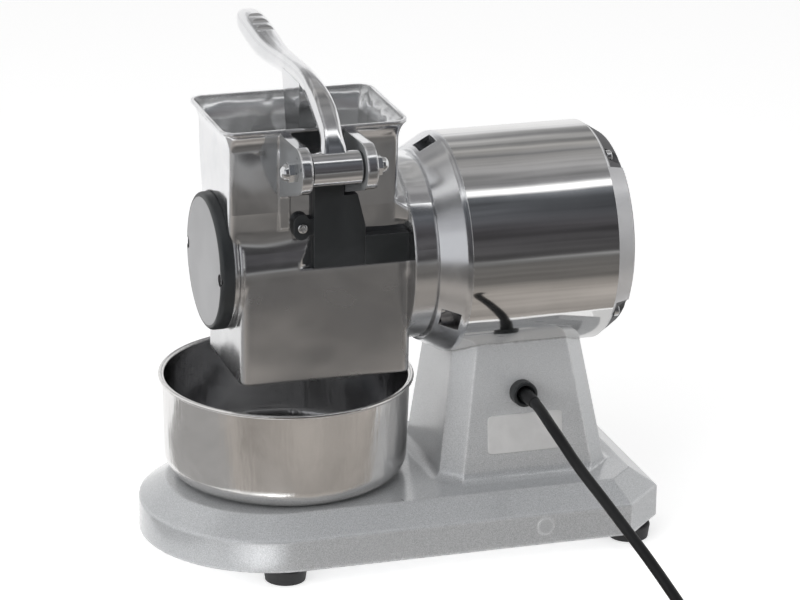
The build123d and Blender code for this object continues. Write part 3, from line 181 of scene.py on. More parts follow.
def set_on(flat, origin, side, out):
    """Local points, whose third value stands out, moved to a face by its side and outward directions."""
    side, out = np.asarray(side, float), np.asarray(out, float)
    return np.asarray(origin) + flat @ np.stack((side, np.cross(out, side), out))


def rounded(angle, half_width, half_height, power):
    """An outline between an ellipse and a rectangle: cosine and sine, each to the power 2 / power."""
    c, s = np.cos(angle), np.sin(angle)
    return (
        half_width * np.sign(c) * np.abs(c) ** (2 / power),
        half_height * np.sign(s) * np.abs(s) ** (2 / power),
    )


def screw_face(radius, height, drive):
    """A screw's face, radius by angle: a low dome down to its rim, less a cross or a six-sided socket."""
    fall, rim = 0.55, 0.07
    narrow, wide, socket, edge = (part * radius for part in (0.17, 0.62, 0.5, 0.12))
    depth = 0.8 * height
    share, angle = np.meshgrid(np.linspace(1, 0.001, 22), full_turn(48), indexing="ij")
    x, y = radius * share * np.cos(angle), radius * share * np.sin(angle)
    dome = height * (1 - fall * share**2) * np.clip((1 - share) / rim, 0, 1) ** 0.5
    if drive == "cross":
        near = np.minimum(
            np.maximum(np.abs(x) - narrow, np.abs(y) - wide),
            np.maximum(np.abs(y) - narrow, np.abs(x) - wide),
        )
    else:
        spokes = full_turn(6)
        near = np.max(x[..., None] * np.cos(spokes) + y[..., None] * np.sin(spokes), axis=-1) - socket
    cut = np.clip(-near / edge + 0.5, 0, 1)
    return np.stack((x, y, dome - depth * cut), axis=-1)


def screws(name, spots, side, out, radius, height, drive):
    """One face for each spot, all turned the same way."""
    return surface(name, *[set_on(screw_face(radius, height, drive), spot, side, out) for spot in spots])


def ring_spots(x, ring, angles):
    """Points at x on a circle round the motor axis, from +Y towards +Z."""
    turn = np.radians(angles)
    y, z = axis[1] + ring * np.cos(turn), axis[2] + ring * np.sin(turn)
    return np.column_stack((np.full(len(turn), x), y, z))


def bare_plate():
    """A thin plate with round corners, on the pedestal where a rating plate goes, with nothing on it."""
    half_width, half_height, squareness = 0.0295, 0.0150, 14
    middle = pedestal_front(0.0895, 0.0885)
    share = np.array((0.0005, 0.5, 0.9, 0.97, 0.99, 1.0, 1.0))[:, None]
    lift = np.array((0.0006, 0.0006, 0.0006, 0.0006, 0.0005, 0.0003, 0.0))[:, None]
    x, y = rounded(full_turn(128)[None], half_width, half_height, squareness)
    flat = np.stack((share * x, share * y, lift + 0 * x), axis=-1)
    return surface("bare_plate", set_on(flat, middle, (1, 0, 0), face_out))


def cord_boot():
    """A sleeve on the cord's first bend, radius against distance: swells at the gland's mouth, then tapers.

    The bend is the spline's own first span, drawn from the first three points of the route.
    """
    marks = (0, 0.13, 0.2, 0.76, 0.79, 0.8)
    radii = (0.0044, 0.0052, 0.0052, 0.0045, 0.0043, 0.0039)
    share = np.linspace(0, marks[-1], 57)[:, None, None]
    angle = full_turn(36)[None, :, None]
    start, knee, after = (np.array(cord_route[:3]) + (0, 1000 * axis[1], 0)) / 1000
    middle = (1 - share) ** 2 * start + 2 * share * (1 - share) * knee + share**2 * (knee + after) / 2
    swell = np.interp(share, marks, radii)
    side = np.array((1.0, 0.0, 0.0))
    ring = np.cos(angle) * side + np.sin(angle) * np.cross(face_out, side)
    return surface("cord_boot", middle + swell * ring)


def coil_tie():
    """A flat band round the coil's section: a rounded outline, thick by a small loop carried along it."""
    half_width, half_height = 0.0172, 0.0081
    band_half_width, band_half_thickness = 0.0065, 0.0005
    turn, ring, lift = math.radians(205), 0.047, 0.0088
    across, thick = rounded(full_turn(12)[None], band_half_width, band_half_thickness, 5)
    r, z = rounded(full_turn(72)[:, None], half_width, half_height, 3.2)
    away = np.stack((r / half_width**2, z / half_height**2), axis=-1)
    away /= np.linalg.norm(away, axis=-1, keepdims=True)
    flat = np.stack((r + away[..., 0] * thick, across + 0 * r, z + away[..., 1] * thick), axis=-1)
    outward = np.array((math.cos(turn), math.sin(turn), 0))
    middle = np.array((coil_middle[0] / 1000, coil_middle[1] / 1000 + axis[1], lift)) + ring * outward
    tangent = np.array((-outward[1], outward[0], 0))
    points = middle + flat @ np.stack((outward, tangent, (0, 0, 1)))
    return surface("coil_tie", points, along=True)


tie = coil_tie()
boot = cord_boot()
plate = bare_plate()
cap_spots = ring_spots(-0.1434, 0.0456, (0, 180))
cover_spots = [(-0.084, -0.0734, 0.263)]
bell_spots = ring_spots(0.022, 0.065, (90, 210, 330))
rod_spots = ring_spots(0.1555, 0.077, (35, 119, 215, 299))
cap_faces = screws("cap_screw_faces", cap_spots, (0, -1, 0), (-1, 0, 0), 0.0036, 0.0009, "cross")
cover_face = screws("cover_screw_face", cover_spots, (1, 0, 0), (0, -1, 0), 0.0036, 0.0012, "cross")
bell_faces = screws("bell_screw_faces", bell_spots, (0, 1, 0), (1, 0, 0), 0.00425, 0.0005, "socket")
rod_faces = screws("tie_rod_faces", rod_spots, (0, 1, 0), (1, 0, 0), 0.0045, 0.0008, "socket")


# Node helpers and the shared surface groups
class Wiring:
    """A short way to place and join nodes in a node tree."""

    def __init__(self, tree):
        self.tree = tree
        self.column = 0

    def add(self, kind, **values):
        """A new node, with its settings, and its sockets by name after the word in_."""
        made = self.tree.nodes.new("ShaderNode" + kind)
        made.location = (180 * self.column, 0)
        self.column += 1
        for key, value in values.items():
            if key.startswith("in_"):
                made.inputs[key[3:].replace("_", " ")].default_value = value
            else:
                setattr(made, key, value)
        return made

    def join(self, start, end):
        """A link from an output to an input."""
        self.tree.links.new(start, end)

    def sum(self, operation, first, second):
        """A math node on two sockets or numbers."""
        made = self.add("Math", operation=operation)
        for socket, value in zip(made.inputs, (first, second)):
            if isinstance(value, (int, float)):
                socket.default_value = value
            else:
                self.join(value, socket)
        return made.outputs[0]

    def times(self, first, second):
        """Two sockets or numbers multiplied."""
        return self.sum("MULTIPLY", first, second)

    def most(self, first, *others):
        """The largest of several sockets or numbers."""
        for other in others:
            first = self.sum("MAXIMUM", first, other)
        return first

    def span(self, value, low, high, out_low=0.0, out_high=1.0):
        """A value mapped from one range to another."""
        made = self.add("MapRange", in_From_Min=low, in_From_Max=high, in_To_Min=out_low, in_To_Max=out_high)
        self.join(value, made.inputs["Value"])
        return made.outputs["Result"]


def group(name, inputs, outputs):
    """An empty shader group with named number sockets, and its wiring, input and output nodes."""
    tree = bpy.data.node_groups.new(name, "ShaderNodeTree")
    for socket, value in inputs.items():
        kind = "NodeSocketVector" if isinstance(value, tuple) else "NodeSocketFloat"
        made = tree.interface.new_socket(socket, in_out="INPUT", socket_type=kind)
        made.default_value = value
    for socket in outputs:
        tree.interface.new_socket(socket, in_out="OUTPUT", socket_type="NodeSocketFloat")
    start, end = tree.nodes.new("NodeGroupInput"), tree.nodes.new("NodeGroupOutput")
    return tree, Wiring(tree), start.outputs, end.inputs


def grain_group():
    """Fine grain: two noises of different size for height, and the finer one, sharpened, for specks."""
    finer = 2.7
    tree, wires, given, out = group(
        "fine_grain", {"Place": (0.0, 0.0, 0.0), "Scale": 1500.0}, ("Height", "Speck")
    )
    coarse = wires.add("TexNoise", in_Detail=2.0, in_Roughness=0.55)
    fine = wires.add("TexNoise", in_Detail=1.0, in_Roughness=0.5)
    wires.join(given["Place"], coarse.inputs["Vector"])
    wires.join(given["Place"], fine.inputs["Vector"])
    wires.join(given["Scale"], coarse.inputs["Scale"])
    wires.join(wires.times(given["Scale"], finer), fine.inputs["Scale"])
    wires.join(wires.sum("ADD", coarse.outputs["Fac"], wires.times(fine.outputs["Fac"], 0.5)), out["Height"])
    wires.join(wires.span(fine.outputs["Fac"], 0.35, 0.65), out["Speck"])
    return tree


def polish_group():
    """Hand polishing: slow waves, and thin scratches where two stretched noises cross their middle."""
    scratch_width = 0.012
    tree, wires, given, out = group(
        "polish_marks", {"Place": (0.0, 0.0, 0.0), "Waves": 35.0, "Scratches": 90.0}, ("Wave", "Scratch")
    )
    wave = wires.add("TexNoise", in_Detail=1.0, in_Roughness=0.4)
    wires.join(given["Place"], wave.inputs["Vector"])
    wires.join(given["Waves"], wave.inputs["Scale"])
    wires.join(wave.outputs["Fac"], out["Wave"])
    lines = []
    for turn, stretch in (((0.3, 0.5, 0.2), (1, 9, 14)), ((1.1, -0.4, 0.8), (12, 1, 10))):
        mapping = wires.add("Mapping", in_Rotation=turn, in_Scale=stretch)
        noise = wires.add("TexNoise", in_Detail=2.0)
        wires.join(given["Place"], mapping.inputs["Vector"])
        wires.join(mapping.outputs[0], noise.inputs["Vector"])
        wires.join(given["Scratches"], noise.inputs["Scale"])
        away = wires.sum("ABSOLUTE", wires.sum("SUBTRACT", noise.outputs["Fac"], 0.5), 0.0)
        lines.append(wires.span(away, 0.0, scratch_width, 1.0, 0.0))
    wires.join(wires.most(*lines), out["Scratch"])
    return tree


def drawn_group():
    """Drawn or brushed lines: noise stretched far along the directions whose stretch is small."""
    tree, wires, given, out = group(
        "drawn_lines", {"Place": (0.0, 0.0, 0.0), "Stretch": (1.0, 1.0, 1.0), "Scale": 100.0}, ("Line",)
    )
    stretched = wires.add("VectorMath", operation="MULTIPLY")
    wires.join(given["Place"], stretched.inputs[0])
    wires.join(given["Stretch"], stretched.inputs[1])
    noise = wires.add("TexNoise", in_Detail=4.0, in_Roughness=0.7)
    wires.join(stretched.outputs[0], noise.inputs["Vector"])
    wires.join(given["Scale"], noise.inputs["Scale"])
    wires.join(noise.outputs["Fac"], out["Line"])
    return tree


def handling_group():
    """Wiped and touched places: a slow, slightly drawn-out noise with finer steps in it, from 0 to 1."""
    tree, wires, given, out = group("handling", {"Place": (0.0, 0.0, 0.0), "Scale": 22.0}, ("Smudge",))
    slow = wires.add("TexNoise", in_Detail=3.0, in_Roughness=0.55, in_Distortion=0.5)
    wires.join(given["Place"], slow.inputs["Vector"])
    wires.join(given["Scale"], slow.inputs["Scale"])
    wires.join(wires.span(slow.outputs["Fac"], 0.36, 0.66), out["Smudge"])
    return tree


def edge_group():
    """Worn edges, and on the silver paint a painted highlight: how far a rounded-edge normal turns from the
    face's own, broken up by noise.
    """
    tree, wires, given, out = group("edge_wear_and_highlight", {"Place": (0.0, 0.0, 0.0), "Width": 0.0012}, ("Edge",))
    soft = wires.add("Bevel", samples=4)
    wires.join(given["Width"], soft.inputs["Radius"])
    face = wires.add("NewGeometry")
    dot = wires.add("VectorMath", operation="DOT_PRODUCT")
    wires.join(soft.outputs[0], dot.inputs[0])
    wires.join(face.outputs["Normal"], dot.inputs[1])
    turned = wires.span(dot.outputs["Value"], 0.995, 0.86)
    noise = wires.add("TexNoise", in_Scale=260.0, in_Detail=3.0)
    wires.join(given["Place"], noise.inputs["Vector"])
    wires.join(wires.times(turned, wires.span(noise.outputs["Fac"], 0.3, 0.6, 0.35, 1.0)), out["Edge"])
    return tree


grain, polish, drawn, handling, edges = (
    make() for make in (grain_group, polish_group, drawn_group, handling_group, edge_group)
)


class Finish:
    """A material with one Principled shader, to which shared groups are joined one by one."""

    def __init__(self, name, metallic=0.0, **sockets):
        self.material = bpy.data.materials.new(name)
        self.material.use_nodes = True
        self.wires = Wiring(self.material.node_tree)
        self.shader = self.material.node_tree.nodes["Principled BSDF"]
        self.shader.inputs["Metallic"].default_value = metallic
        for key, value in sockets.items():
            self.shader.inputs[key.replace("_", " ")].default_value = value
        self.place = self.wires.add("TexCoord").outputs["Object"]
        self.normal = None

    def use(self, tree, **values):
        """One of the shared groups, set to this material's values."""
        made = self.wires.add("Group", node_tree=tree)
        self.wires.join(self.place, made.inputs["Place"])
        for key, value in values.items():
            made.inputs[key].default_value = value
        return made.outputs

    def coordinate(self, name):
        """One coordinate of the place, by its letter."""
        made = self.wires.add("SeparateXYZ")
        self.wires.join(self.place, made.inputs[0])
        return made.outputs[name]

    def vector(self, operation, first, second):
        """A vector math node on a socket, and on a second socket or fixed vector."""
        made = self.wires.add("VectorMath", operation=operation)
        self.wires.join(first, made.inputs[0])
        if isinstance(second, tuple):
            made.inputs[1].default_value = second
        else:
            self.wires.join(second, made.inputs[1])
        return made.outputs["Value" if operation == "DOT_PRODUCT" else "Vector"]

    def off_axis(self):
        """The distance from the motor axis."""
        moved = self.vector("SUBTRACT", self.place, (0.0, axis[1], axis[2]))
        length = self.wires.add("VectorMath", operation="LENGTH")
        self.wires.join(self.vector("MULTIPLY", moved, (0.0, 1.0, 1.0)), length.inputs[0])
        return length.outputs["Value"]

    def face_normal(self):
        """The flat normal of the face, without any bump."""
        return self.wires.add("NewGeometry").outputs["True Normal"]

    def facing_in(self, middle):
        """1 on faces that look towards a point, 0 on those that look away."""
        away = self.vector("SUBTRACT", self.place, middle)
        return self.wires.span(self.vector("DOT_PRODUCT", away, self.face_normal()), 0.0, -0.004)

    def square_to(self, direction):
        """1 on faces that look along a direction, either way, 0 on those that look aside."""
        along = self.vector("DOT_PRODUCT", self.face_normal(), direction)
        return self.wires.span(self.wires.sum("ABSOLUTE", along, 0.0), 0.5, 0.8)

    def colour(self, mask, low, high):
        """The base colour from low to high by a mask. Low is a colour, or the socket of an earlier one."""
        made = self.wires.add("Mix", data_type="RGBA")
        self.wires.join(mask, made.inputs[0])
        if isinstance(low, tuple):
            made.inputs[6].default_value = (*low, 1)
        else:
            self.wires.join(low, made.inputs[6])
        made.inputs[7].default_value = (*high, 1)
        self.wires.join(made.outputs[2], self.shader.inputs["Base Color"])
        return made.outputs[2]

    def roughness(self, mask, low, high, more=None):
        """The roughness from low to high by a mask, with more added where a socket is given."""
        value = self.wires.span(mask, 0.0, 1.0, low, high)
        if more is not None:
            value = self.wires.sum("ADD", value, more)
        self.wires.join(value, self.shader.inputs["Roughness"])

    def bump(self, height, depth, strength=1.0):
        """A height, times a depth in metres, on top of the bumps before it."""
        made = self.wires.add("Bump", in_Strength=strength, in_Distance=depth)
        self.wires.join(height, made.inputs["Height"])
        if self.normal is not None:
            self.wires.join(self.normal, made.inputs["Normal"])
        self.normal = made.outputs["Normal"]
        self.wires.join(self.normal, self.shader.inputs["Normal"])

    def soften(self, radius):
        """Rounded-looking edges, before any bump."""
        self.normal = self.wires.add("Bevel", samples=6, in_Radius=radius).outputs[0]
        self.wires.join(self.normal, self.shader.inputs["Normal"])


def polished(name, colour, wiped, rough, waves, wave_depth, soft=0.0):
    """Polished metal: waves from hand polishing, fine scratches and wiped places."""
    made = Finish(name, metallic=1.0)
    if soft:
        made.soften(soft)
    marks = made.use(polish, Waves=waves, Scratches=85.0)
    touch = made.use(handling, Scale=26.0)["Smudge"]
    made.colour(touch, colour, wiped)
    scratched = made.wires.sum("ADD", made.wires.times(marks["Scratch"], 0.35), touch)
    made.roughness(scratched, *rough)
    made.bump(marks["Wave"], wave_depth)
    return made


def cast_head():
    """Polished casting: satin down the spout and on the hinge ears' sides, duller inside the hopper, and
    painted shade that darkens the ears' sides and the hopper's inner rim.

    Inside is where a face in the hopper looks towards the hopper's middle.
    """
    made = Finish("cast_head", metallic=1.0)
    made.soften(0.003)
    wires = made.wires
    marks = made.use(polish, Waves=30.0)["Wave"]
    slow = made.use(polish, Waves=13.0)["Wave"]
    folds = made.use(polish, Waves=34.0)["Wave"]
    touch = made.use(handling, Scale=26.0)["Smudge"]
    height, depth = made.coordinate("Z"), made.coordinate("Y")
    inside = wires.span(height, hopper_floor, hopper_floor + 0.007)
    inside = wires.times(made.facing_in(hopper_middle), inside)
    # painted shade: the hopper's inside is coloured darker round its inner rim
    rim_shade = wires.times(inside, wires.span(height, hopper_flare, hopper_flare + 0.005))
    satin = wires.span(height, spout_satin + 0.02, spout_satin)
    # painted shade: the hinge ears' side faces are coloured dark, as well as made matt and satin
    ear_shade = wires.times(made.square_to((1, 0, 0)), wires.span(height, ear_bottom, ear_bottom + 0.003))
    ear_shade = wires.times(ear_shade, wires.span(depth, ear_root, ear_root - 0.002))
    body = made.colour(touch, (0.70, 0.705, 0.715), (0.78, 0.78, 0.79))
    body = made.colour(inside, body, (0.93, 0.935, 0.94))
    body = made.colour(rim_shade, body, (0.50, 0.505, 0.51))
    body = made.colour(satin, body, (0.60, 0.60, 0.605))
    made.colour(ear_shade, body, (0.26, 0.268, 0.275))
    dull = wires.most(wires.times(satin, 0.14), wires.times(inside, 0.07), wires.times(ear_shade, 0.2))
    made.roughness(touch, 0.07, 0.15, more=dull)
    matt = wires.most(wires.times(inside, 0.2), wires.times(ear_shade, 0.6))
    wires.join(wires.sum("SUBTRACT", 1.0, matt), made.shader.inputs["Metallic"])
    made.bump(slow, 0.005)
    made.bump(wires.times(slow, wires.span(height, 0.245, 0.275)), 0.004)
    made.bump(marks, 0.0006)
    made.bump(wires.times(folds, inside), 0.005)
    return made


def lever_cast():
    """Polished casting, with painted shade on the stem that hangs in the hopper: darker, and rougher."""
    made = Finish("lever_cast", metallic=1.0)
    made.soften(0.0012)
    wires = made.wires
    marks = made.use(polish, Waves=30.0)["Wave"]
    skin = made.use(grain, Scale=700.0)["Height"]
    touch = made.use(handling, Scale=26.0)["Smudge"]
    # painted shade: the stem below the hopper's rim is coloured dark, as well as rougher with a grain
    stem_shade = wires.times(
        wires.span(made.coordinate("Z"), stem_shade_top + 0.002, stem_shade_top - 0.002),
        wires.span(made.coordinate("Y"), stem_front - 0.001, stem_front),
    )
    body = made.colour(touch, (0.72, 0.725, 0.735), (0.79, 0.79, 0.80))
    made.colour(stem_shade, body, (0.26, 0.265, 0.27))
    made.roughness(touch, 0.07, 0.15, more=wires.times(stem_shade, 0.14))
    made.bump(marks, 0.0006)
    made.bump(wires.times(skin, stem_shade), 0.0002, 0.5)
    return made


def silver_paint():
    """Sprayed silver under a clear coat: light and dark specks, painted light that makes it paler up the
    pedestal, and edges paler from wear and as a painted highlight.
    """
    made = Finish("silver_paint", metallic=0.3, Coat_Weight=1.0, Coat_Roughness=0.12)
    made.soften(0.003)
    skin = made.use(grain, Scale=620.0)
    touch = made.use(handling, Scale=14.0)["Smudge"]
    rub_and_highlight = made.use(edges, Width=0.0032)["Edge"]
    # painted light: the paint is coloured paler higher up the pedestal
    painted_light_up = made.wires.span(made.coordinate("Z"), 0.06, 0.13, 0.0, 0.42)
    body = made.colour(skin["Speck"], (0.34, 0.35, 0.36), (0.53, 0.54, 0.555))
    body = made.colour(painted_light_up, body, (0.72, 0.73, 0.74))
    # edges paler from wear, and also as a painted highlight where rounded edges catch light
    made.colour(rub_and_highlight, body, (0.90, 0.91, 0.92))
    made.roughness(touch, 0.27, 0.34)
    made.bump(skin["Height"], 0.0001, 0.5)
    return made


def satin_cast(name, low, high, rough):
    """Turned and satin polished casting: drawn lines round the motor axis and wiped places."""
    made = Finish(name, metallic=1.0)
    made.soften(0.0008)
    lines = made.use(drawn, Stretch=(1.0, 0.02, 0.02), Scale=3000.0)["Line"]
    touch = made.use(handling, Scale=20.0)["Smudge"]
    made.colour(touch, low, high)
    made.roughness(touch, *rough)
    made.bump(lines, 0.000012, 0.6)
    return made


def rear_cast():
    """Rear cap: satin pads and rim, darker and rough in the recess between them."""
    cone_radius, cone_front, cone_slope = 0.0825, 0.1485, 0.2
    made = Finish("rear_cast", metallic=0.55)
    made.soften(0.0008)
    wires = made.wires
    skin = made.use(grain, Scale=900.0)["Height"]
    touch = made.use(handling, Scale=20.0)["Smudge"]
    along = wires.sum("SUBTRACT", made.coordinate("X"), cone_front)
    cone = wires.sum("SUBTRACT", cone_radius, wires.times(along, cone_slope))
    sunk = wires.span(wires.sum("SUBTRACT", cone, made.off_axis()), 0.0008, 0.0016)
    body = made.colour(touch, (0.60, 0.60, 0.61), (0.68, 0.68, 0.69))
    made.colour(sunk, body, (0.13, 0.13, 0.135))
    made.roughness(sunk, 0.26, 0.6)
    made.bump(skin, 0.00006, 0.4)
    return made


def bowl_steel():
    """Pressed sheet: fine lines round the bowl, soft dents from pressing, wiped places, and painted shade
    inside the bowl.
    """
    made = Finish("bowl_steel", metallic=1.0)
    lines = made.use(drawn, Stretch=(0.05, 0.05, 1.0), Scale=2600.0)["Line"]
    upright = made.use(drawn, Stretch=(1.0, 1.0, 0.2), Scale=30.0)["Line"]
    dents = made.use(polish, Waves=22.0)["Wave"]
    touch = made.use(handling, Scale=18.0)["Smudge"]
    body = made.colour(touch, (0.69, 0.68, 0.67), (0.785, 0.775, 0.765))
    # painted shade: the faces inside the bowl are coloured darker
    made.colour(made.facing_in(bowl_middle), body, (0.54, 0.54, 0.545))
    made.roughness(touch, 0.16, 0.25)
    made.bump(upright, 0.0012)
    made.bump(dents, 0.0008)
    made.bump(lines, 0.00002, 0.8)
    return made


def moulded(name, low, high, rough, scale, depth, worn=None, gloss=0.5):
    """Moulded plastic or rubber: a fine grain, a greyer bloom where touched and, where set, paler edges."""
    made = Finish(name, Specular_IOR_Level=gloss)
    made.soften(0.0006)
    skin = made.use(grain, Scale=scale)["Height"]
    touch = made.use(handling, Scale=30.0)["Smudge"]
    body = made.colour(touch, low, high)
    if worn:
        made.colour(made.use(edges, Width=0.0008)["Edge"], body, worn)
    made.roughness(touch, *rough)
    made.bump(skin, depth, 0.6)
    return made


def cap_plate():
    """Anodised disc: straight fine lines, satin."""
    made = Finish("cap_plate", metallic=1.0)
    lines = made.use(drawn, Stretch=(1.0, 1.0, 0.02), Scale=2400.0)["Line"]
    touch = made.use(handling, Scale=24.0)["Smudge"]
    made.colour(touch, (0.34, 0.34, 0.347), (0.385, 0.385, 0.392))
    made.roughness(touch, 0.34, 0.46)
    made.bump(lines, 0.00001, 0.7)
    return made


def wound_wire():
    """Enamelled wire: thin ridges round the winding, darker between them."""
    made = Finish("copper", metallic=0.9)
    lines = made.use(drawn, Stretch=(1.0, 0.05, 0.05), Scale=1400.0)["Line"]
    made.colour(lines, (0.32, 0.13, 0.05), (0.72, 0.38, 0.2))
    made.roughness(lines, 0.28, 0.45)
    made.bump(lines, 0.0004)
    return made


def laminations():
    """Stacked sheet steel: thin lines square to the motor axis."""
    made = Finish("lamination", metallic=0.85)
    lines = made.use(drawn, Stretch=(1.0, 0.01, 0.01), Scale=1800.0)["Line"]
    made.colour(lines, (0.12, 0.12, 0.13), (0.34, 0.34, 0.36))
    made.roughness(lines, 0.36, 0.55)
    made.bump(lines, 0.00008)
    return made


def label_foil():
    """The bare plate: fine satin foil, a little brighter than the paint round it."""
    made = Finish("label_foil", metallic=0.3)
    lines = made.use(drawn, Stretch=(0.03, 1.0, 1.0), Scale=3200.0)["Line"]
    touch = made.use(handling, Scale=60.0)["Smudge"]
    made.colour(touch, (0.60, 0.60, 0.60), (0.66, 0.66, 0.66))
    made.roughness(touch, 0.30, 0.40)
    made.bump(lines, 0.00001, 0.6)
    return made


finishes = {
    "silver_paint": silver_paint(),
    "bowl_steel": bowl_steel(),
    "lamination": laminations(),
    "copper": wound_wire(),
    "cap_plate": cap_plate(),
}
# Colour, colour where wiped, roughness, size and depth of the waves, softened edge
polished_metals = {
    "polished_cast": ((0.72, 0.725, 0.735), (0.79, 0.79, 0.80), (0.07, 0.15), 30.0, 0.0006, 0.0012),
    "polished_steel": ((0.69, 0.685, 0.68), (0.73, 0.725, 0.72), (0.045, 0.09), 14.0, 0.0006),
    "zinc_steel": ((0.66, 0.67, 0.68), (0.76, 0.76, 0.76), (0.12, 0.24), 120.0, 0.0002, 0.0005),
}
# Colour, colour where wiped, roughness
satin_metals = {
    "satin_cast": ((0.66, 0.665, 0.68), (0.74, 0.745, 0.755), (0.16, 0.26)),
    "black_steel": ((0.045, 0.045, 0.048), (0.075, 0.075, 0.078), (0.28, 0.42)),
    "bearing_steel": ((0.50, 0.50, 0.52), (0.60, 0.60, 0.61), (0.16, 0.28)),
    "bronze": ((0.58, 0.40, 0.20), (0.70, 0.52, 0.30), (0.24, 0.38)),
}
# Colour, colour where touched, roughness, size and depth of the grain, colour of worn edges, gloss
plastics = {
    "black_plastic": (
        (0.012, 0.014, 0.015), (0.022, 0.024, 0.026), (0.36, 0.5),
        2200.0, 0.00006, (0.06, 0.062, 0.065),
    ),
    "black_rubber": (
        (0.010, 0.010, 0.011), (0.022, 0.022, 0.023), (0.5, 0.66),
        1600.0, 0.0001, (0.05, 0.05, 0.05),
    ),
    "cord_rubber": (
        (0.006, 0.0063, 0.0068), (0.012, 0.0124, 0.0132), (0.42, 0.56),
        1800.0, 0.00006, None, 0.28,
    ),
    "green_button": (
        (0.02, 0.22, 0.06), (0.04, 0.30, 0.09), (0.24, 0.38),
        1800.0, 0.00003, (0.12, 0.42, 0.18),
    ),
    "red_button": (
        (0.42, 0.02, 0.02), (0.52, 0.04, 0.035), (0.24, 0.38),
        1800.0, 0.00003, (0.62, 0.16, 0.14),
    ),
    "grey_plastic": (
        (0.33, 0.33, 0.32), (0.42, 0.42, 0.40), (0.4, 0.56),
        1500.0, 0.00006, (0.5, 0.5, 0.48),
    ),
}
for make, rows in ((polished, polished_metals), (satin_cast, satin_metals), (moulded, plastics)):
    for name, row in rows.items():
        finishes[name] = make(name, *row)


def dress(piece, finish):
    """Puts a finish on every face of a piece or CAD node."""
    piece.data.materials.clear()
    piece.data.materials.append(finish.material)
    if piece.type == "MESH":
        piece.data.polygons.foreach_set("material_index", np.zeros(len(piece.data.polygons), dtype=np.int32))


own_finishes = {"head_casting": cast_head(), "press_lever": lever_cast(), "rear_cap": rear_cast()}
for part in frame["record"]["subparts"]:
    dress(frame["nodes"][part["node"]], own_finishes.get(part["node"], finishes[part["material_slot"]]))

for piece, finish, slot in (
    (cord, finishes["cord_rubber"], "cord_rubber"),
    (tie, finishes["black_plastic"], "black_plastic"),
    (boot, finishes["cord_rubber"], "cord_rubber"),
    (plate, label_foil(), "silver_paint"),
    (cap_faces, finishes["black_steel"], "black_steel"),
    (cover_face, finishes["zinc_steel"], "zinc_steel"),
    (bell_faces, finishes["zinc_steel"], "zinc_steel"),
    (rod_faces, finishes["zinc_steel"], "zinc_steel"),
):
    dress(piece, finish)
    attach(piece, "frame")

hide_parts("power_cord", "cord_coil")


# Studio: pale floor, white surroundings, three soft lamps, and cards that only reflections show
def emission(name):
    """An empty material with its wiring, output and an emission shader."""
    material = bpy.data.materials.new(name)
    material.use_nodes = True
    tree = material.node_tree
    tree.nodes.clear()
    wires = Wiring(tree)
    glow = wires.add("Emission")
    end = tree.nodes.new("ShaderNodeOutputMaterial")
    return material, wires, glow, end


def seen_rays(wires):
    """1 for what the camera and the metal see, 0 for the light that falls on things."""
    path = wires.add("LightPath").outputs
    return wires.most(path["Is Camera Ray"], path["Is Glossy Ray"], path["Is Transmission Ray"])


def floor():
    """A wide flat sheet: diffuse, with a little white added for what the camera and the metal see."""
    reach, drop, added_white = np.linspace(-6, 6, 9), 0.0003, 0.52
    x, y = np.meshgrid(reach, reach, indexing="ij")
    piece = surface("floor", np.stack((x, y, 0 * x - drop), axis=-1)[:, ::-1], around=False)
    material, wires, glow, end = emission("pale_floor")
    matt = wires.add("BsdfDiffuse", in_Color=(0.80, 0.80, 0.80, 1))
    wires.join(wires.times(seen_rays(wires), added_white), glow.inputs["Strength"])
    both = wires.add("AddShader")
    wires.join(matt.outputs[0], both.inputs[0])
    wires.join(glow.outputs[0], both.inputs[1])
    wires.join(both.outputs[0], end.inputs["Surface"])
    piece.data.materials.append(material)


def only_reflected(piece, material):
    """Puts a glowing material on a card, and hides the card from all but reflections."""
    piece.data.materials.append(material)
    piece.visible_camera = False
    piece.visible_diffuse = False
    piece.visible_transmission = False
    piece.visible_shadow = False


# Colours of the curved card by the angle above the horizon in front
card_bands = (
    (-63, (0.46, 0.43, 0.40)),
    (-34, (0.43, 0.40, 0.37)),
    (-27, (0.20, 0.19, 0.18)),
    (-11, (0.15, 0.145, 0.14)),
    (-8, (0.36, 0.36, 0.36)),
    (-5, (0.09, 0.088, 0.09)),
    (24, (0.085, 0.082, 0.088)),
    (38, (0.10, 0.104, 0.114)),
    (59, (0.16, 0.17, 0.185)),
    (62, (1.5, 1.5, 1.5)),
    (65.5, (1.4, 1.4, 1.4)),
    (69, (0.38, 0.38, 0.39)),
    (104, (0.42, 0.415, 0.41)),
    (108, (0.26, 0.26, 0.265)),
    (118, (0.50, 0.49, 0.475)),
    (124, (0.30, 0.30, 0.30)),
    (134, (0.48, 0.475, 0.47)),
    (140, (0.28, 0.28, 0.285)),
    (150, (0.45, 0.45, 0.45)),
    (156, (0.85, 0.85, 0.86)),
)


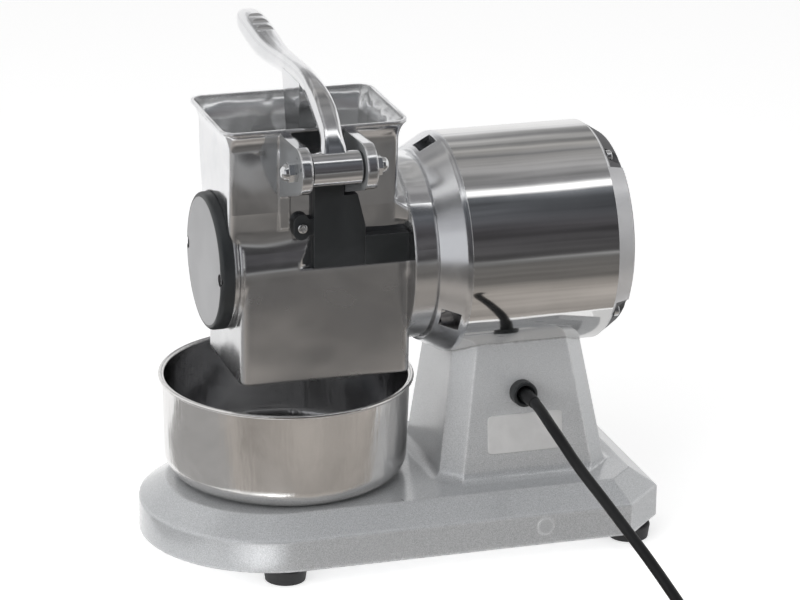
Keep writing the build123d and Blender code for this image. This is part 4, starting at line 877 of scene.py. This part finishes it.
def reflection_card():
    """A curved card round the motor axis, from the floor in front, over the top, to behind.

    Each row is one angle above the horizon in front. Below the horizon the row lies over the floor,
    a little higher where the cord is coiled, above it on an arc.
    """
    lowest, highest, left, right = -63, 158, -0.9, 2.2
    arc, arc_start = 1.73, 0.107
    rise = np.radians(np.linspace(lowest, highest, 120))[:, None]
    x = np.linspace(left, right, 24)[None]
    drop = np.interp(rise, np.radians((-37, -31)), (0.2255, 0.1855))
    reach = np.where(rise < -arc_start, drop / np.maximum(np.sin(-rise), arc_start), arc)
    y = axis[1] - reach * np.cos(rise) + 0 * x
    z = axis[2] + reach * np.sin(rise) + 0 * x
    piece = surface("reflection_card", np.stack((x + 0 * rise, y, z), axis=-1), around=False)
    layer = piece.data.uv_layers.new(name="rise")
    loops = np.zeros(len(piece.data.loops), dtype=np.int32)
    piece.data.loops.foreach_get("vertex_index", loops)
    height = (np.degrees(rise) - lowest) / (highest - lowest) + 0 * x
    across = (x - left) / (right - left) + 0 * rise
    layer.uv.foreach_set("vector", np.stack((height.ravel()[loops], across.ravel()[loops]), axis=-1).ravel())
    material, wires, glow, end = emission("card_bands")
    uv = wires.add("UVMap", uv_map="rise")
    split = wires.add("SeparateXYZ")
    wires.join(uv.outputs[0], split.inputs[0])
    ramp = wires.add("ValToRGB")
    stops = ramp.color_ramp.elements
    while len(stops) < len(card_bands):
        stops.new(0.5)
    for stop, (angle, colour) in zip(stops, card_bands):
        stop.position = (angle - lowest) / (highest - lowest)
        stop.color = (*colour, 1)
    wires.join(split.outputs[0], ramp.inputs[0])
    wires.join(ramp.outputs[0], glow.inputs["Color"])
    shares = []
    for stretch, least, most in (((15.0, 6.0, 0.0), 0.62, 1.38), ((70.0, 2.5, 0.0), 0.9, 1.1)):
        broken = wires.add("VectorMath", operation="MULTIPLY")
        wires.join(uv.outputs[0], broken.inputs[0])
        broken.inputs[1].default_value = stretch
        noise = wires.add("TexNoise", in_Scale=1.0, in_Detail=2.0)
        wires.join(broken.outputs[0], noise.inputs["Vector"])
        shares.append(wires.span(noise.outputs["Fac"], 0.32, 0.68, least, most))
    wires.join(wires.times(*shares), glow.inputs["Strength"])
    wires.join(glow.outputs[0], end.inputs["Surface"])
    only_reflected(piece, material)


def grey_card(name, corners, shade):
    """A flat card of one shade between four corners, two and two along its sides."""
    piece = surface(name, np.array(corners, float).reshape(2, 2, 3), around=False)
    material, wires, glow, end = emission(name)
    glow.inputs["Color"].default_value = (*shade, 1)
    wires.join(glow.outputs[0], end.inputs["Surface"])
    only_reflected(piece, material)


def floor_card(name, x_ends, y_ends, shade):
    """A card that lies just over the floor."""
    lift = 0.0012
    grey_card(name, [(x, y, lift) for x in x_ends for y in y_ends], shade)


def shine_cards():
    """Low upright strips in front of the base's round end: the bright place on its side, fading both ways."""
    shades = (0.9, 1.5, 2.2, 2.9, 2.5, 1.3)
    marks = np.linspace((-0.194, -0.128), (-0.108, -0.1686), len(shades) + 1)
    for number, shade in enumerate(shades):
        strip = [(*mark, z) for mark in marks[number:number + 2] for z in (0.001, 0.024)]
        grey_card(f"card_shine_{number}", strip, (shade, shade, shade))


def upright_cards():
    """A wall of cards at the front left, darker step by step upwards, for the front bell."""
    ends = ((-1.9, -0.74), (-0.95, -1.75))
    steps = (0.0, 1.0, 1.45, 1.9, 3.0)
    for number, shade in enumerate((0.77, 0.54, 0.42, 0.12)):
        upright = [(*end, z) for end in ends for z in steps[number:number + 2]]
        grey_card(f"card_upright_{number}", upright, (shade, 1.01 * shade, 1.04 * shade))


def surroundings():
    """White for what the camera and the metal see, and softer for the light that falls on the object."""
    world = bpy.data.worlds.new("studio")
    scene.world = world
    world.use_nodes = True
    wires = Wiring(world.node_tree)
    back = world.node_tree.nodes["Background"]
    wires.join(wires.span(seen_rays(wires), 0.0, 1.0, 0.45, 1.0), back.inputs["Strength"])
    back.inputs["Color"].default_value = (1, 1, 1, 1)


def soft_lamp(name, place, size, power):
    """A soft lamp that points at the object, and that no reflection shows."""
    aim = Vector((0, 0, 0.15))
    lamp = bpy.data.lights.new(name, "AREA")
    lamp.shape = "RECTANGLE"
    lamp.size, lamp.size_y = size
    lamp.energy = power
    made = bpy.data.objects.new(name, lamp)
    made.location = place
    made.rotation_euler = (aim - Vector(place)).to_track_quat("-Z", "Y").to_euler()
    made.visible_glossy = False
    scene.collection.objects.link(made)


floor()
reflection_card()
floor_card("card_left", (-1.8, -0.24), (-1.7, 0.2), (0.42, 0.415, 0.41))
floor_card("card_right", (0.2, 1.0), (-0.13, 0.3), (0.78, 0.78, 0.78))
shine_cards()
upright_cards()
surroundings()
soft_lamp("lamp_over", (-0.5, -1.0, 1.9), (1.4, 1.0), 9)
soft_lamp("lamp_left", (-1.8, -1.4, 1.0), (1.2, 1.2), 26)
soft_lamp("lamp_right", (1.9, -1.3, 0.9), (1.0, 1.0), 9)
